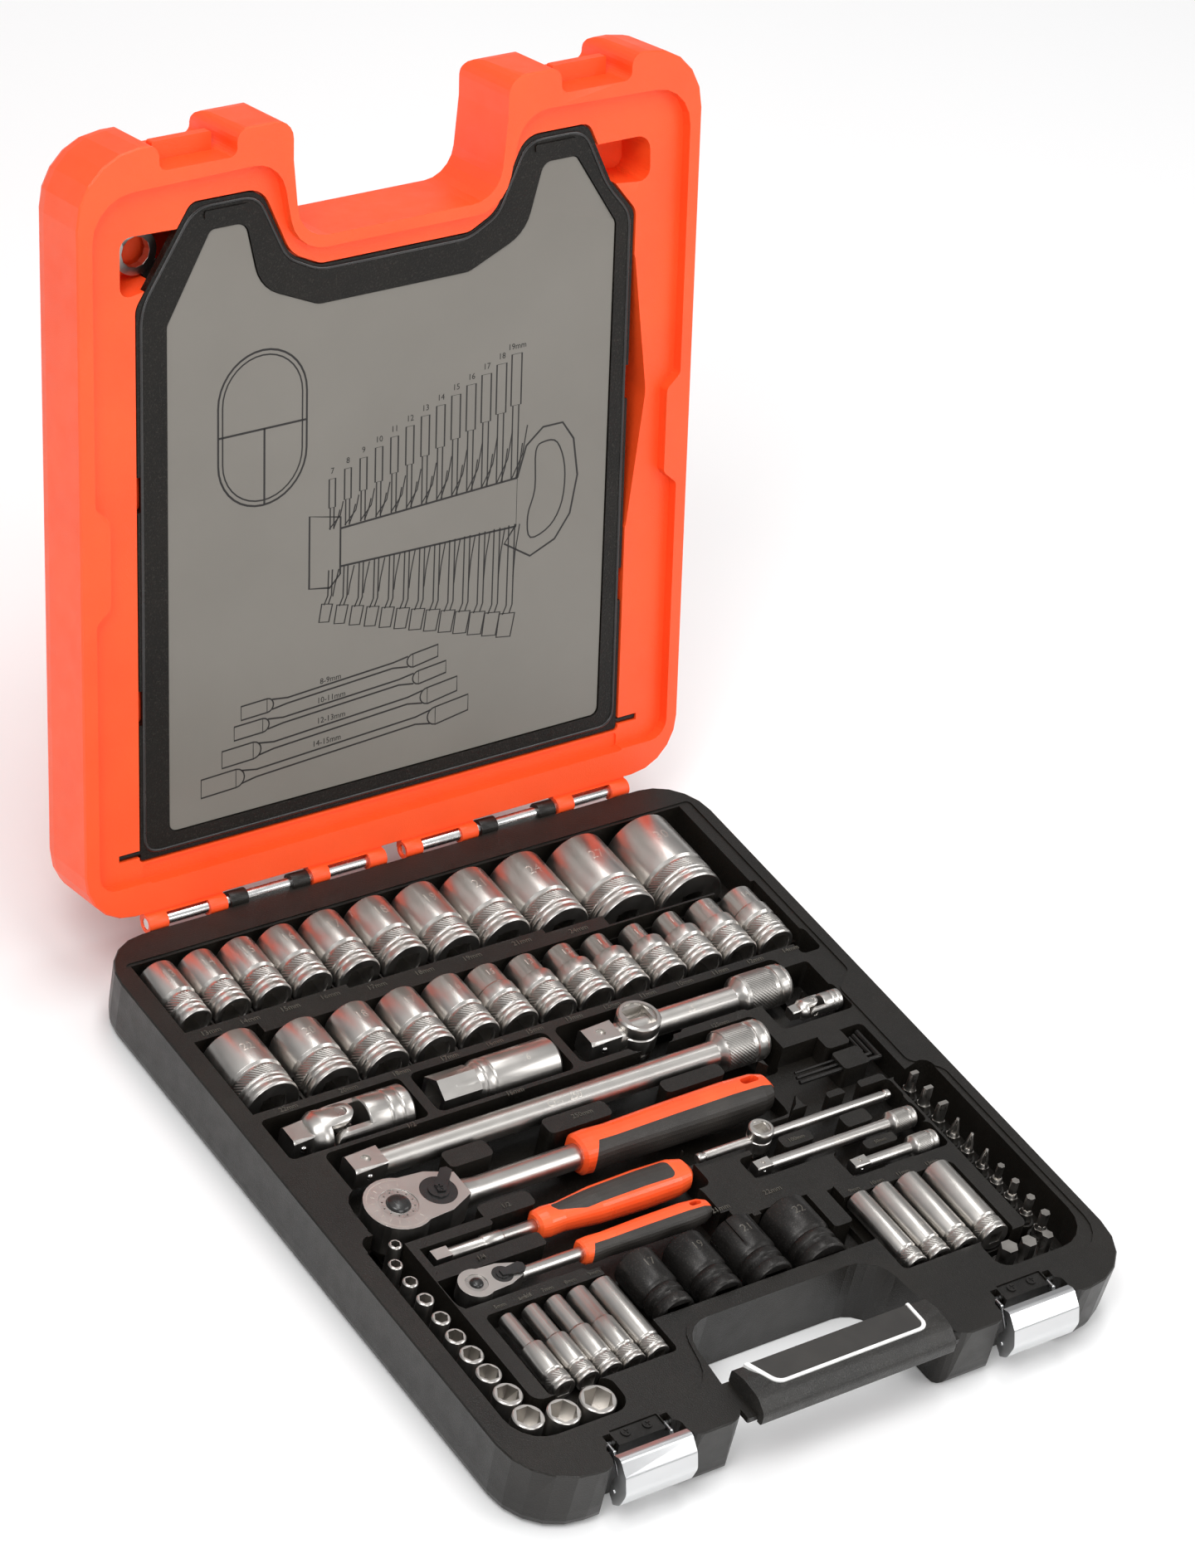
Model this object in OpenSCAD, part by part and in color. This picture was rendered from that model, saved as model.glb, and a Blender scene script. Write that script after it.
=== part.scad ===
/* [Case] */
// Width of the case across the hinge side
case_w = 356; // [350:1:362]
// Height of the base half, underside to rim
base_h = 36; // [36:0.5:38]
// Depth of the lid half, rim to back
lid_h = 42; // [41:0.5:44]
// How far the lid stands open
lid_open = 106; // [95:1:110]
// Corner radius at the hinge side
back_r = 28; // [24:1:30]
// Corner radius at the handle side
front_r = 34; // [30:1:36]

/* [Hinge] */
// Radius of the hinge pins
pin_r = 3; // [2.8:0.1:3.2]
// Radial play of the lid on its pins
pin_play = 0.06; // [0.02:0.01:0.1]

/* [Drives] */
// Side of the large square drive
sq_half = 12.7; // [12.6:0.05:12.8]
// Side of the small square drive
sq_quarter = 6.35; // [6.3:0.05:6.4]
// Radius of the large extension bars
half_shaft_r = 6.5; // [6:0.25:7]
// Radius of the small extension bars
quarter_shaft_r = 3; // [2.75:0.25:3.25]

/* [Tray] */
// Height of the tray surface inside the rim
tray_z = 35.2; // [35:0.1:35.6]
// Floor of the pockets
floor_z = 15; // [13:0.5:17]

/* [Hidden] */
HB = base_h;
HW = case_w / 2;
YA = 197;
RG = 0.3;
ZH = 31;
ZQ = 33;
YF = -198;
YB = 192;
LX = 113;
ROW1 = [[-155, 10.3, 13], [-133, 10.6, 14], [-110, 11, 15], [-87, 11.6, 16], [-61.5, 12.8, 17], [-33.5, 13.6, 18],
        [-5, 14.2, 19], [25, 15, 21], [57.5, 16.5, 24], [95, 18.6, 27], [136, 20, 30]];
ROW2 = [[-148.4, 16, 22], [-114.5, 14.5, 20], [-84.3, 13.2, 18], [-56.4, 12.5, 17], [-29.8, 12, 16], [-6, 11.3, 15],
        [17.5, 11, 13], [40.5, 11, 12], [62.5, 11, 11], [85.5, 11, 10], [107.5, 11, 11], [129.5, 11, 12], [152, 11, 14]];
NOSE2 = [16, 14.5, 13.2, 12.5, 12, 10.6, 9.4, 8.6, 7.8, 7, 7.8, 9.4, 10.2];
IMPACT = [[-50, 11, 17], [-22, 11.5, 19], [7, 12, 21], [38, 13.6, 22]];
DEEPL = [[-127.6, 4, 5.5], [-114, 4.6, 6], [-101, 5, 7], [-88, 5.6, 8], [-74.5, 6.3, 10]];
DEEPR = [[76, 6, 9], [90, 6.5, 10], [106, 7.2, 11], [124, 8, 13]];
UPR = [[-151, -39.5, 6.5, 4], [-158, -50.5, 7, 4.5], [-157.7, -62.7, 7.5, 5], [-157.5, -75, 8.5, 5.5], [-157.3, -88, 9, 6],
       [-157.5, -100.5, 10, 7], [-157, -113, 11.5, 8], [-156.3, -126, 12.2, 9], [-155.5, -140.5, 14, 10],
       [-154.8, -156, 15.3, 11], [-138, -160, 16, 12], [-119, -160, 17.5, 13]];
BITY = [-46, -57.5, -69.5, -81.5, -93, -105, -116.5, -128, -140, -151.5];
BITX = 151;
FBITS = [[123, -160, 4.5], [134.5, -161, 4], [146, -161, 3]];

// ---- plan outlines: vertices are [x, y, corner radius], listed counter-clockwise
function unit(v) = v / norm(v);
function arc_at(a, b, c, r, n) =
  let (u = unit(a - b), w = unit(c - b), half = acos(max(-1, min(1, u * w))) / 2)
  (r <= 0.01 || half > 89) ? [b] :
  let (t = min(r / tan(half), 0.49 * norm(a - b), 0.49 * norm(c - b)), q = t * tan(half),
       o = b + unit(u + w) * q / sin(half), s = b + u * t, e = b + w * t,
       a0 = atan2(s[1] - o[1], s[0] - o[0]), d0 = atan2(e[1] - o[1], e[0] - o[0]) - a0,
       d = d0 > 180 ? d0 - 360 : d0 < -180 ? d0 + 360 : d0)
  [for (i = [0:n]) o + q * [cos(a0 + d * i / n), sin(a0 + d * i / n)]];
function round_corners(p, n = 5) = let (m = len(p))
  [for (i = [0:m - 1]) each let (a = p[(i + m - 1) % m], b = p[i], c = p[(i + 1) % m])
    arc_at([a[0], a[1]], [b[0], b[1]], [c[0], c[1]], b[2], n)];
function turn(a, b, c) = (b[0] - a[0]) * (c[1] - b[1]) - (b[1] - a[1]) * (c[0] - b[0]);
function inset(p, d) = let (m = len(p))
  [for (i = [0:m - 1]) let (a = p[(i + m - 1) % m], b = p[i], c = p[(i + 1) % m],
      e = unit([b[0] - a[0], b[1] - a[1]]), f = unit([c[0] - b[0], c[1] - b[1]]),
      n1 = [-e[1], e[0]], n2 = [-f[1], f[0]], v = (n1 + n2) / (1 + n1 * n2) * d)
    [b[0] + v[0], b[1] + v[1], max(0.3, b[2] - d * (turn(a, b, c) > 0 ? 1 : -1))]];
function flip_x(p) = [for (i = [len(p) - 1:-1:0]) [-p[i][0], p[i][1], p[i][2]]];
function flip_y(p) = [for (i = [len(p) - 1:-1:0]) [p[i][0], p[i][1] * -1 + YA, p[i][2]]];

// outline of either half at the rim, in plan, and what is cut from its handle side
BLOCK = [[-HW, YF, front_r], [HW, YF, front_r], [HW, YB, back_r], [-HW, YB, back_r]];
LATCH_CUT = [[66, YF - 8, 0], [158, YF - 8, 0], [158, YF - 0.02, 0], [134, YF - 0.02, 9], [134, -185, 4], [92, -185, 4], [92, YF - 0.02, 8.6], [66, YF - 0.02, 0]];
HANDLE_CUT = [[-90, YF - 8, 0], [90, YF - 8, 0], [90, YF - 0.02, 0], [61, YF - 0.02, 12], [61, -178, 6], [57, -138, 17], [-57, -138, 17], [-61, -178, 6], [-61, YF - 0.02, 12], [-90, YF - 0.02, 0]];

module plate(p, z0, z1, n = 5) translate([0, 0, z0]) linear_extrude(z1 - z0) polygon(round_corners(p, n));
module skin(levels, p, n = 5) {
  rings = [for (l = levels) round_corners(inset(p, l[1]), n)];
  m = len(rings[0]);
  k = len(levels);
  polyhedron(
    points = [for (j = [0:k - 1]) for (q = rings[j]) [q[0], q[1], levels[j][0]]],
    faces = concat([[for (i = [0:m - 1]) i]], [[for (i = [m - 1:-1:0]) (k - 1) * m + i]],
      [for (j = [0:k - 2]) for (i = [0:m - 1]) let (a = j * m + i, b = j * m + (i + 1) % m) each [[a, b + m, b], [a, a + m, b + m]]]),
    convexity = 8);
}
function rect(x0, y0, x1, y1, r) = [[x0, y0, r], [x1, y0, r], [x1, y1, r], [x0, y1, r]];
module half_shell(levels, lid) difference() {
  skin(levels, lid ? flip_y(BLOCK) : BLOCK);
  plate(lid ? flip_y(HANDLE_CUT) : HANDLE_CUT, -60, 60);
  plate(lid ? flip_y(LATCH_CUT) : LATCH_CUT, -60, 60);
  plate(lid ? flip_x(flip_y(LATCH_CUT)) : flip_x(LATCH_CUT), -60, 60);
}
module well(x0, y0, x1, y1, r = 3, z = floor_z, top = HB + 1) plate(rect(x0, y0, x1, y1, r), z, top, 4);
module pad(x0, y0, x1, y1, r = 3, z = tray_z) plate(rect(x0, y0, x1, y1, r), 1, z, 4);
module cyl_x(x0, x1, y, z, r) translate([x0, y, z]) rotate([0, 90, 0]) cylinder(h = x1 - x0, r = r, $fn = 48);
module cyl_y(y0, y1, x, z, r) translate([x, y0, z]) rotate([-90, 0, 0]) cylinder(h = y1 - y0, r = r, $fn = 48);
module cyl_z(z0, z1, x, y, r) translate([x, y, z0]) cylinder(h = z1 - z0, r = r, $fn = 48);
// round-bottomed trough open at the top
module trough_pts(h, r, zc, top) linear_extrude(h) polygon(concat([for (i = [0:10]) r * [cos(180 + 18 * i), sin(180 + 18 * i)]], [[r, top - zc], [-r, top - zc]]));
module trough_y(x, y0, y1, zc, r) translate([x, y1, zc]) rotate([90, 0, 0]) trough_pts(y1 - y0, r, zc, HB + 1);

// ---- case
module tray_wells() {
  // back row of sockets, stepped front edge, then one trough each
  for (i = [0:10]) let (s = ROW1[i], xl = i == 0 ? -167 : (ROW1[i - 1][0] + ROW1[i - 1][1] + s[0] - s[1]) / 2 - 0.2,
      xr = i == 10 ? 164 : (s[0] + s[1] + ROW1[i + 1][0] - ROW1[i + 1][1]) / 2 + 0.2, yl = i < 4 ? 122.5 : i < 8 ? 119.5 : i < 9 ? 116.5 : 109.5) {
    well(xl, yl, xr, 173.5, 0, z_row(s[1]) - 3);
    trough_y(s[0], max(yl + 1, row1_y0(s[1]) - 2), 171, z_row(s[1]), s[1] + 0.5);
  }
  // front row
  for (i = [0:12]) let (s = ROW2[i], xl = i == 0 ? -166.5 : (ROW2[i - 1][0] + ROW2[i - 1][1] + s[0] - s[1]) / 2 - 0.2,
      xr = i == 12 ? 166.5 : (s[0] + s[1] + ROW2[i + 1][0] - ROW2[i + 1][1]) / 2 + 0.2) {
    well(xl, 61, xr, i == 0 ? 115 : i == 12 ? 109.6 : 108.4, 0, z_row(s[1]) - 3);
    trough_y(s[0], 62.5, i == 0 ? 113.5 : 107.4, z_row(s[1]), s[1] + 0.5);
  }
  well(156, 53, 168.5, 70, 3, 22);
  // joint, spark plug socket and short extension
  well(-166, 27.5, -87.5, 56, 3, 12);
  well(-82, 27.5, -2, 56, 4, 12);
  difference() {
    union() { well(3, 29, 140, 56, 4, 14); well(30, 25, 58, 56, 6, 5); well(30, 34, 96, 51, 4, 5); }
    pad(62, 20, 104, 30.5, 3);
  }
  // long extension, large ratchet, screwdriver handle and small ratchet share one field
  difference() {
    union() {
      well(-150, -4, 104, 25, 4, 13);
      well(-158, -41, 90, 1, 15, 13);
      cyl_z(4, HB + 1, -136.5, -19.2, 21);
      well(-142, -66, 13, -38, 4, 17);
      well(-146, -90, 6, -60, 9, 17);
      cyl_z(8, HB + 1, -131, -77.3, 12);
    }
    pad(-98, -7, -73, 4, 3);
    pad(-40, -6.5, -3, 4, 3);
    pad(30, -5, 66, 3.6, 3);
    pad(-102, -43, -73, -33, 3);
    pad(-152, -46.4, -100, -40.5, 2);
    pad(-152, -66.8, -83, -58, 2, 34.4);
    pad(-152, -96, -76, -87.5, 3);
  }
  // deep sockets at the left, impact sockets, deep sockets at the right
  well(-138, -149.5, -66, -95, 3, 24);
  for (s = DEEPL) trough_y(s[0], -148.5, -96, ZQ - 1, 7);
  difference() { well(-70, -128.5, 68, -84, 4, 20); pad(52, -114, 63, -84, 2); pad(10, -92, 70, -80, 5); }
  for (s = IMPACT) trough_y(s[0], -127.5, -90, 42 - s[1] - 1, s[1] + 0.6);
  well(66, -151, 134, -99.5, 3, 24);
  for (s = DEEPR) trough_y(s[0], -150, -100.2, ZQ - 1, s[2] > 12 ? 8.6 : 7.8);
  // small tee bar, extensions
  difference() {
    union() { well(13, -54, 141, -39.5, 3, 22); well(44, -62, 140, -48, 3, 22); well(35, -72, 141, -57, 3, 22); well(81, -90, 141, -72, 3, 22); }
    pad(62, -42.6, 78, -36, 2);
    pad(62, -60, 80, -52.2, 2);
    pad(100, -60.4, 116, -51.8, 2);
    pad(100, -77, 119, -71, 2);
    pad(100, -93, 119, -89.5, 2);
  }
  // hex keys and the small joint
  difference() {
    union() { well(89, -40, 153, -1, 3, 22); well(112, 10, 157, 29.5, 3, 22); well(139, 26, 155, 48, 2, 18); }
    pad(124.5, -26, 140.5, -13.5, 2, 36);
    pad(125, -10.5, 139.5, 0, 2.5);
    pad(104, -50, 114, -35.5, 2);
    pad(124, -45, 140, -35, 2);
  }
  // channel of upright sockets and channel of bits, with their feet
  plate([[-166, -170, 18], [-106, -170, 9], [-106, -149.5, 5], [-146.5, -149.5, 6], [-146.5, -30, 5], [-166, -30, 6]], 11, HB + 1);
  difference() {
    plate([[168.5, -170, 20], [168.5, -34, 6], [142.5, -40, 4], [142.5, -150.5, 4], [111, -150.5, 4], [111, -170, 8]], 14, HB + 1);
    for (y = BITY) cyl_z(10, 22, BITX, y, 5);
    for (f = FBITS) cyl_z(10, 24, f[0], f[1], f[2] + 2.2);
  }
}
function z_row(r) = min(29, 41.6 - r);
function row1_y0(r) = 169 - (r < 11.8 ? 38 : r < 14 ? 40 : r < 15.5 ? 43 : r < 17 ? 46 : 50);
CONTOUR = [[-170, 175, 3], [-170, 28, 5], [-157, 22, 5], [-157, -25, 5], [-170, -45, 8], [-170, -177.5, 20], [-66, -177.5, 22],
  [-56, -134, 18], [56, -134, 18], [66, -177.5, 22], [172, -177.5, 20], [172, -45, 8], [158, -33, 5], [158, 24, 5], [171, 34, 5], [171, 175, 3]];

module base_case() color([0.13, 0.12, 0.11]) {
  difference() {
    union() {
      half_shell([[0, 6.5], [0.7, 4.4], [2.4, 2.6], [5.5, 1.6], [11, 1.1], [HB - 0.8, 0], [HB, 0.6]], false);
      plate([[-62, -176, 0], [-62, -199, 1], [62, -199, 1], [62, -176, 0]], HB - 3.2, HB - 0.2);
      for (s = [-1, 1]) {
        plate(rect(s * 75 - 23, 186, s * 75 + 23, YA, 0), HB - 4.6, HB - 0.4);
        for (e = [-1, 1]) cyl_x(s * 75 + e * 18 - 5, s * 75 + e * 18 + 5, YA, HB, 4.6);
      }
    }
    translate([0, 0, tray_z]) linear_extrude(2) polygon(round_corners(CONTOUR));
    tray_wells();
    // latch seats: top pocket, two wire channels and a drop at the side
    for (s = [-1, 1]) {
      plate(rect(s * LX - 13.2, -199, s * LX + 13.2, -178.6, 0.4), HB - 2.4, HB + 1);
      plate(rect(s * LX - 18, -199, s * LX - 13.8, -180, 0.4), HB - 6, HB + 1);
      plate(rect(s * LX + 13.8, -199, s * LX + 18, -180, 0.4), HB - 6, HB + 1);
      for (e = [-1, 1]) cyl_z(HB - 9, HB, s * LX + e * 6, -182, 1.2);
      cyl_x(s * LX - 18.6, s * LX + 18.6, -182.6, HB - 4, 1.3);
    }
    for (s = [-1, 1]) cyl_x(s * 75 - 24, s * 75 + 24, YA, HB, pin_r);
    for (k = [[-23, 1.45], [-19.6, 1.2], [-16.4, 0.95]]) cyl_x(120, 144, k[0], 33, k[1]);
    // two shallow feet marks under the case
    for (s = [-1, 1]) plate(rect(s * 80 - 50, -120, s * 80 + 50, 150, 12), -1, 0.8);
  }
  for (y = BITY) difference() { cyl_z(21.5, 25, BITX, y, 5); cyl_z(21, 26, BITX, y, 3.9); }
}
module handle_grip() color([0.09, 0.085, 0.08]) difference() {
  translate([-56.5, 0, 0]) rotate([90, 0, 90]) linear_extrude(113)
    polygon(round_corners([[-199.2, HB - 4, 1], [-175.5, HB - 4, 0.5], [-175.5, HB + 7, 2], [-185, HB + 9, 12], [-196, HB + 8.2, 7], [-202.6, HB + 3, 5], [-202.6, HB - 4, 1.5]], 4));
  translate([-60, -199.2, HB - 10]) cube([120, 30, 9.8]);
  plate([[-43, -193.2, 7], [46, -193.2, 5], [46, -170, 0], [-52, -170, 0], [-50, -180, 3]], HB + 6.4, HB + 20);
}
module handle_badge() color([0.16, 0.15, 0.14])
  plate([[-41.4, -191.4, 6], [44.2, -191.4, 4], [44.2, -176.6, 0.5], [-48, -176.6, 0.5]], HB + 6.4, HB + 8.4);
module handle_badge_trim() color([0.85, 0.85, 0.84]) difference() {
  plate([[-42.9, -193.1, 7], [45.9, -193.1, 5], [45.9, -176.2, 0.5], [-51, -176.2, 0.5], [-49.6, -179.5, 2.8]], HB + 6.4, HB + 9);
  plate([[-41.4, -191.4, 6], [44.2, -191.4, 4], [44.2, -170, 0], [-48.8, -170, 0], [-48, -176.6, 0.5]], HB + 6, HB + 10);
}
module hinge_pin(s) color([0.8, 0.8, 0.8]) cyl_x(s > 0 ? 7 : -144.5, s > 0 ? 144.5 : -7, YA, HB, pin_r);
module hinge_pin_left() hinge_pin(-1);
module hinge_pin_right() hinge_pin(1);

// the lid is drawn lying open: x across, y away from the hinge, z = 0 at its rim, back downwards
module lid_place() translate([0, YA, HB]) rotate([180 - lid_open, 0, 0]) children();
DOOR = [[-143, 31, 1.5], [143, 31, 1.5], [143, 312, 8], [128, 330, 8], [113, 361, 6], [76, 361, 12], [60, 326, 18], [44, 318, 12],
        [-42, 318, 12], [-59, 326, 18], [-75, 361, 12], [-113, 361, 6], [-143, 315, 10]];
LABEL = [[-126, 42, 4], [131, 42, 4], [132, 308, 6], [107, 346, 4], [88, 346, 6], [78, 312, 22], [45, 298, 12],
         [-42, 298, 12], [-75, 312, 22], [-83, 346, 6], [-102, 346, 4], [-126, 303, 6]];
FACE = [[-170, 22, 10], [171, 22, 10], [171, 164, 4], [163, 171, 4], [163, 216, 4], [171, 223, 4], [171, 374, 22],
        [70, 376, 18], [60, 329, 20], [-59, 329, 20], [-68, 376, 18], [-170, 374, 22], [-170, 223, 4], [-162, 216, 4], [-162, 171, 4], [-170, 164, 4]];
module lid_case() color([1, 0.32, 0.14]) lid_place() difference() {
  union() {
    difference() {
      half_shell([[-lid_h, 8], [-lid_h + 0.8, 5.4], [-lid_h + 2.8, 3], [-lid_h + 6, 1.4], [-lid_h + 11, 0.6], [-RG - 1, 0], [-RG, 0.7]], true);
      plate(FACE, -6.3, 1);
      // recess for the door, space for the spanners behind it
      plate(inset(DOOR, -1), -11.2, 1);
      plate([[-139, 36, 4], [139, 36, 4], [139, 310, 8], [111, 354, 6], [78, 354, 12], [62, 322, 18], [44, 312, 12],
        [-42, 312, 12], [-61, 322, 18], [-77, 354, 12], [-111, 354, 6], [-139, 312, 10]], -35, -10);
      // ring windows and the swelling at the right
      plate([[-152, 321, 5], [-120, 326, 5], [-112, 350, 4], [-152, 351, 6]], -30, 1);
      plate([[112, 330, 4], [152, 326, 6], [151, 350, 8], [112, 350, 4]], -30, 1);
      plate([[130, 140, 4], [144, 140, 6], [154, 215, 30], [144, 292, 6], [130, 292, 4]], -30, 1);
      // pivot slots
      for (s = [-1, 1]) translate([s > 0 ? 142 : -155.6, 33.1, -10.6]) cube([13.6, 3.8, 11]);
      plate(rect(-144, 30, 144, 37.5, 0.5), -14, -10);
      plate(rect(-142, 21, 143, 29, 2), -7.2, 1);
      // shallow panel across the back
      difference() { plate(rect(-138, 40, 138, 306, 22), -lid_h - 1, -lid_h + 1.6); plate(rect(-128, 50, 128, 296, 15), -lid_h - 1, -lid_h + 1.6); }
      for (s = [-1, 1]) plate(rect(s * 64 - 50, 66, s * 64 + 50, 90, 8), -lid_h - 1, -lid_h + 1.2);
    }
    for (s = [-1, 1]) {
      cyl_x(s > 0 ? 6 : -50, s > 0 ? 50 : -6, 0, 0, 4.6);
      cyl_x(s > 0 ? 100 : -145, s > 0 ? 145 : -100, 0, 0, 4.6);
      plate(rect(s > 0 ? 6 : -50, 0, s > 0 ? 50 : -6, 10, 0), -5, -0.8);
      plate(rect(s > 0 ? 100 : -145, 0, s > 0 ? 145 : -100, 10, 0), -5, -0.8);
    }
    // strike ledges for the latches
    for (s = [-1, 1]) plate(rect(s * LX - 16, 380, s * LX + 16, 391, 1), -20, -15);
  }
  for (s = [-1, 1]) cyl_x(s > 0 ? 5 : -146, s > 0 ? 146 : -5, 0, 0, pin_r + pin_play);
  for (s = [-1, 1]) for (c = [28, 122]) translate([s * c - 12, -8, -1.5]) cube([24, 12.4, 9]);
}
module spanner_door() color([0.1, 0.1, 0.09]) lid_place() {
  difference() {
    union() {
      plate(DOOR, -11, -7);
      for (s = [-1, 1]) cyl_x(s > 0 ? 142 : -155, s > 0 ? 155 : -142, 35, -8.6, 1.6);
    }
    plate(inset(LABEL, -0.5), -8.2, 0);
    // finger notches along the edges
    for (s = [-1, 1]) for (y = [112, 222]) plate(rect(s * 143 - 3, y - 9, s * 143 + 3, y + 9, 2), -12, 0);
  }
  for (s = [-1, 1]) plate(rect(s * 94 - 12, 352, s * 94 + 12, 356, 1), -7.4, -6.2);
}
module door_label() color([0.55, 0.53, 0.49]) lid_place() plate(LABEL, -8.2, -7.7);
module latch_plates() color([0.12, 0.12, 0.12]) for (s = [-1, 1]) difference() {
  union() {
    plate(rect(s * LX - 13, -187.2, s * LX + 13, -178.8, 0.4), HB - 2.4, HB - 0.9);
    plate(rect(s * LX - 13, -187.2, s * LX + 13, -185.4, 0.3), HB - 13, HB - 0.9);
  }
  for (e = [-1, 1]) cyl_z(HB - 4, HB, s * LX + e * 6, -182, 1.3);
}
module latch_screws() color([0.2, 0.2, 0.2]) for (s = [-1, 1]) for (e = [-1, 1]) difference() {
  union() { cyl_z(HB - 8.8, HB - 0.9, s * LX + e * 6, -182, 1.2); cyl_z(HB - 0.9, HB - 0.1, s * LX + e * 6, -182, 2.4); }
  for (a = [0, 90]) translate([s * LX + e * 6, -182, HB - 0.1]) rotate([0, 0, a + 20]) cube([3, 0.6, 0.9], center = true);
}
// wire bail: pivots in the channels, carries the lever on its front bar
LP = [-182.6, HB - 4];
LV = [-198.2, HB - 17];
module latch_link(s) color([0.75, 0.75, 0.76]) {
  for (e = [-1, 1]) {
    x = s * LX + e * 15.9;
    a = atan2(LV[1] - LP[1], LV[0] - LP[0]);
    L = norm(LV - LP);
    cyl_x(x - 2.6, x + 2.6, LP[0], LP[1], 1.2);
    translate([x, -187.8, HB - 3.4]) rotate([90, 0, 0]) translate([0, 0, -5.6]) cylinder(h = 5.6, r = 0.9, $fn = 24);
    translate([x, -188, HB - 3.2]) rotate([90 - atan2(LV[1] - HB + 3.2, -LV[0] - 188), 0, 0])
      cylinder(h = norm([LV[0] + 188, LV[1] - HB + 3.2]), r = 0.9, $fn = 24);
    translate([x, -188, HB - 3.3]) sphere(r = 1, $fn = 24);
    cyl_x(min(x - e * 1, x + e * 4.6), max(x - e * 1, x + e * 4.6), LV[0], LV[1], 1);
  }
}
module latch_link_left() latch_link(-1);
module latch_link_right() latch_link(1);
LEV = [[-192.5, HB + 0.8, 0.4], [-197, HB + 2.4, 3], [-203.5, HB - 4, 3], [-206.5, HB - 12, 6], [-204.2, HB - 21, 5], [-199.6, HB - 24.2, 1],
       [-198.6, HB - 22.9, 0.8], [-202.6, HB - 19.8, 4], [-204.7, HB - 12, 5], [-202, HB - 5, 3], [-196.9, HB + 0.7, 2], [-193, HB - 0.7, 0.4]];
LEF = [[-192.7, HB + 0.2, 0.4], [-197, HB + 1.6, 2], [-202.8, HB - 4.4, 3], [-205.6, HB - 12, 5], [-203.6, HB - 20.6, 4], [-199.4, HB - 23.4, 1],
       [-195.6, HB - 20, 2], [-195.2, HB - 13.4, 2], [-198.6, HB - 6, 3]];
module latch_lever(s) color([0.82, 0.82, 0.83]) difference() {
  union() {
    translate([s * LX - 20, 0, 0]) rotate([90, 0, 90]) linear_extrude(40) polygon(round_corners(LEV, 4));
    for (e = [-1, 1]) translate([s * LX + e * 19.2 - 0.8, 0, 0]) rotate([90, 0, 90]) linear_extrude(1.6) polygon(round_corners(LEF, 4));
  }
  cyl_x(s * LX - 21, s * LX + 21, LV[0], LV[1], 1.06);
}
module latch_lever_left() latch_lever(-1);
module latch_lever_right() latch_lever(1);

// flat open/ring spanners lying across the lid
module spanner(L, w) {
  difference() {
    union() {
      translate([0, -w * 0.24, 0]) cube([L, w * 0.48, 4]);
      cylinder(h = 5.4, r = w * 0.66, $fn = 40);
      translate([L, 0, 0]) cylinder(h = 5, r = w * 0.78, $fn = 40);
    }
    translate([0, 0, -1]) rotate([0, 0, 15]) cylinder(h = 8, r = w * 0.42, $fn = 12);
    translate([L, 0, -1]) rotate([0, 0, -15]) translate([0, -w * 0.36, 0]) cube([w, w * 0.72, 8]);
  }
}
module combination_spanners() color([0.76, 0.76, 0.77]) lid_place() {
  for (i = [0:6]) translate([-118 + 36 * i, 62 + 6 * i, -35]) rotate([0, 0, 90]) spanner(120 + 14 * i, 14 + 1.6 * i);
  translate([-134.5, 337, -26]) difference() { cylinder(h = 5, r = 11.4, $fn = 48); translate([0, 0, -1]) cylinder(h = 8, r = 7.6, $fn = 12); }
  translate([-134, 337, -26]) rotate([0, 0, -50]) translate([11, -5, 0]) cube([22, 10, 4]);
}

// ---- square-drive tools. A socket stands on its drive end at z = 0
module socket(r, rn, L, sq, af, k = 1) difference() {
  rotate_extrude($fn = 72) polygon([[0, 0], [r - 1.3 * k, 0], [r - 0.5 * k, 0.9 * k], [r - 0.5 * k, 2.8 * k], [r - 1.3 * k, 3.4 * k], [r - 1.3 * k, 4.4 * k],
    [r - 0.5 * k, 5 * k], [r - 0.5 * k, 6.4 * k], [r - 1.1 * k, 6.8 * k], [r - 1.1 * k, 7.4 * k], [r - 0.5 * k, 7.8 * k], [r - 0.5 * k, 14.5 * k],
    [r - 1.2 * k, 15 * k], [r - 1.2 * k, 15.8 * k], [r, 17 * k], [r, rn < r ? 23.5 * k : 20 * k], [rn, rn < r ? 24.5 * k : 20.5 * k], [rn, L - 1], [rn - 1, L], [0, L]]);
  translate([-sq / 2, -sq / 2, -1]) cube([sq, sq, 16 * k + 1]);
  translate([0, 0, -1]) cylinder(h = 1.8, r = sq * 0.62, $fn = 48);
  translate([0, 0, L - min(af * 0.9, L - 18 * k)]) cylinder(h = L, r = af / sqrt(3), $fn = 6);
}
module at_y(x, y, z) translate([x, y, z]) rotate([-90, 0, 0]) children();
module half_sockets_back_row() color([0.72, 0.71, 0.69]) for (s = ROW1)
  at_y(s[0], row1_y0(s[1]), z_row(s[1])) socket(s[1], s[1], 169 - row1_y0(s[1]), sq_half, s[2] * 1.0);
module half_sockets_front_row() color([0.72, 0.71, 0.69]) for (i = [0:12]) let (s = ROW2[i])
  at_y(s[0], i == 0 ? 70 : 68, z_row(s[1])) socket(s[1], NOSE2[i], i == 0 ? 41 : 38, sq_half, min(s[2], NOSE2[i] * 1.5));
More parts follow.
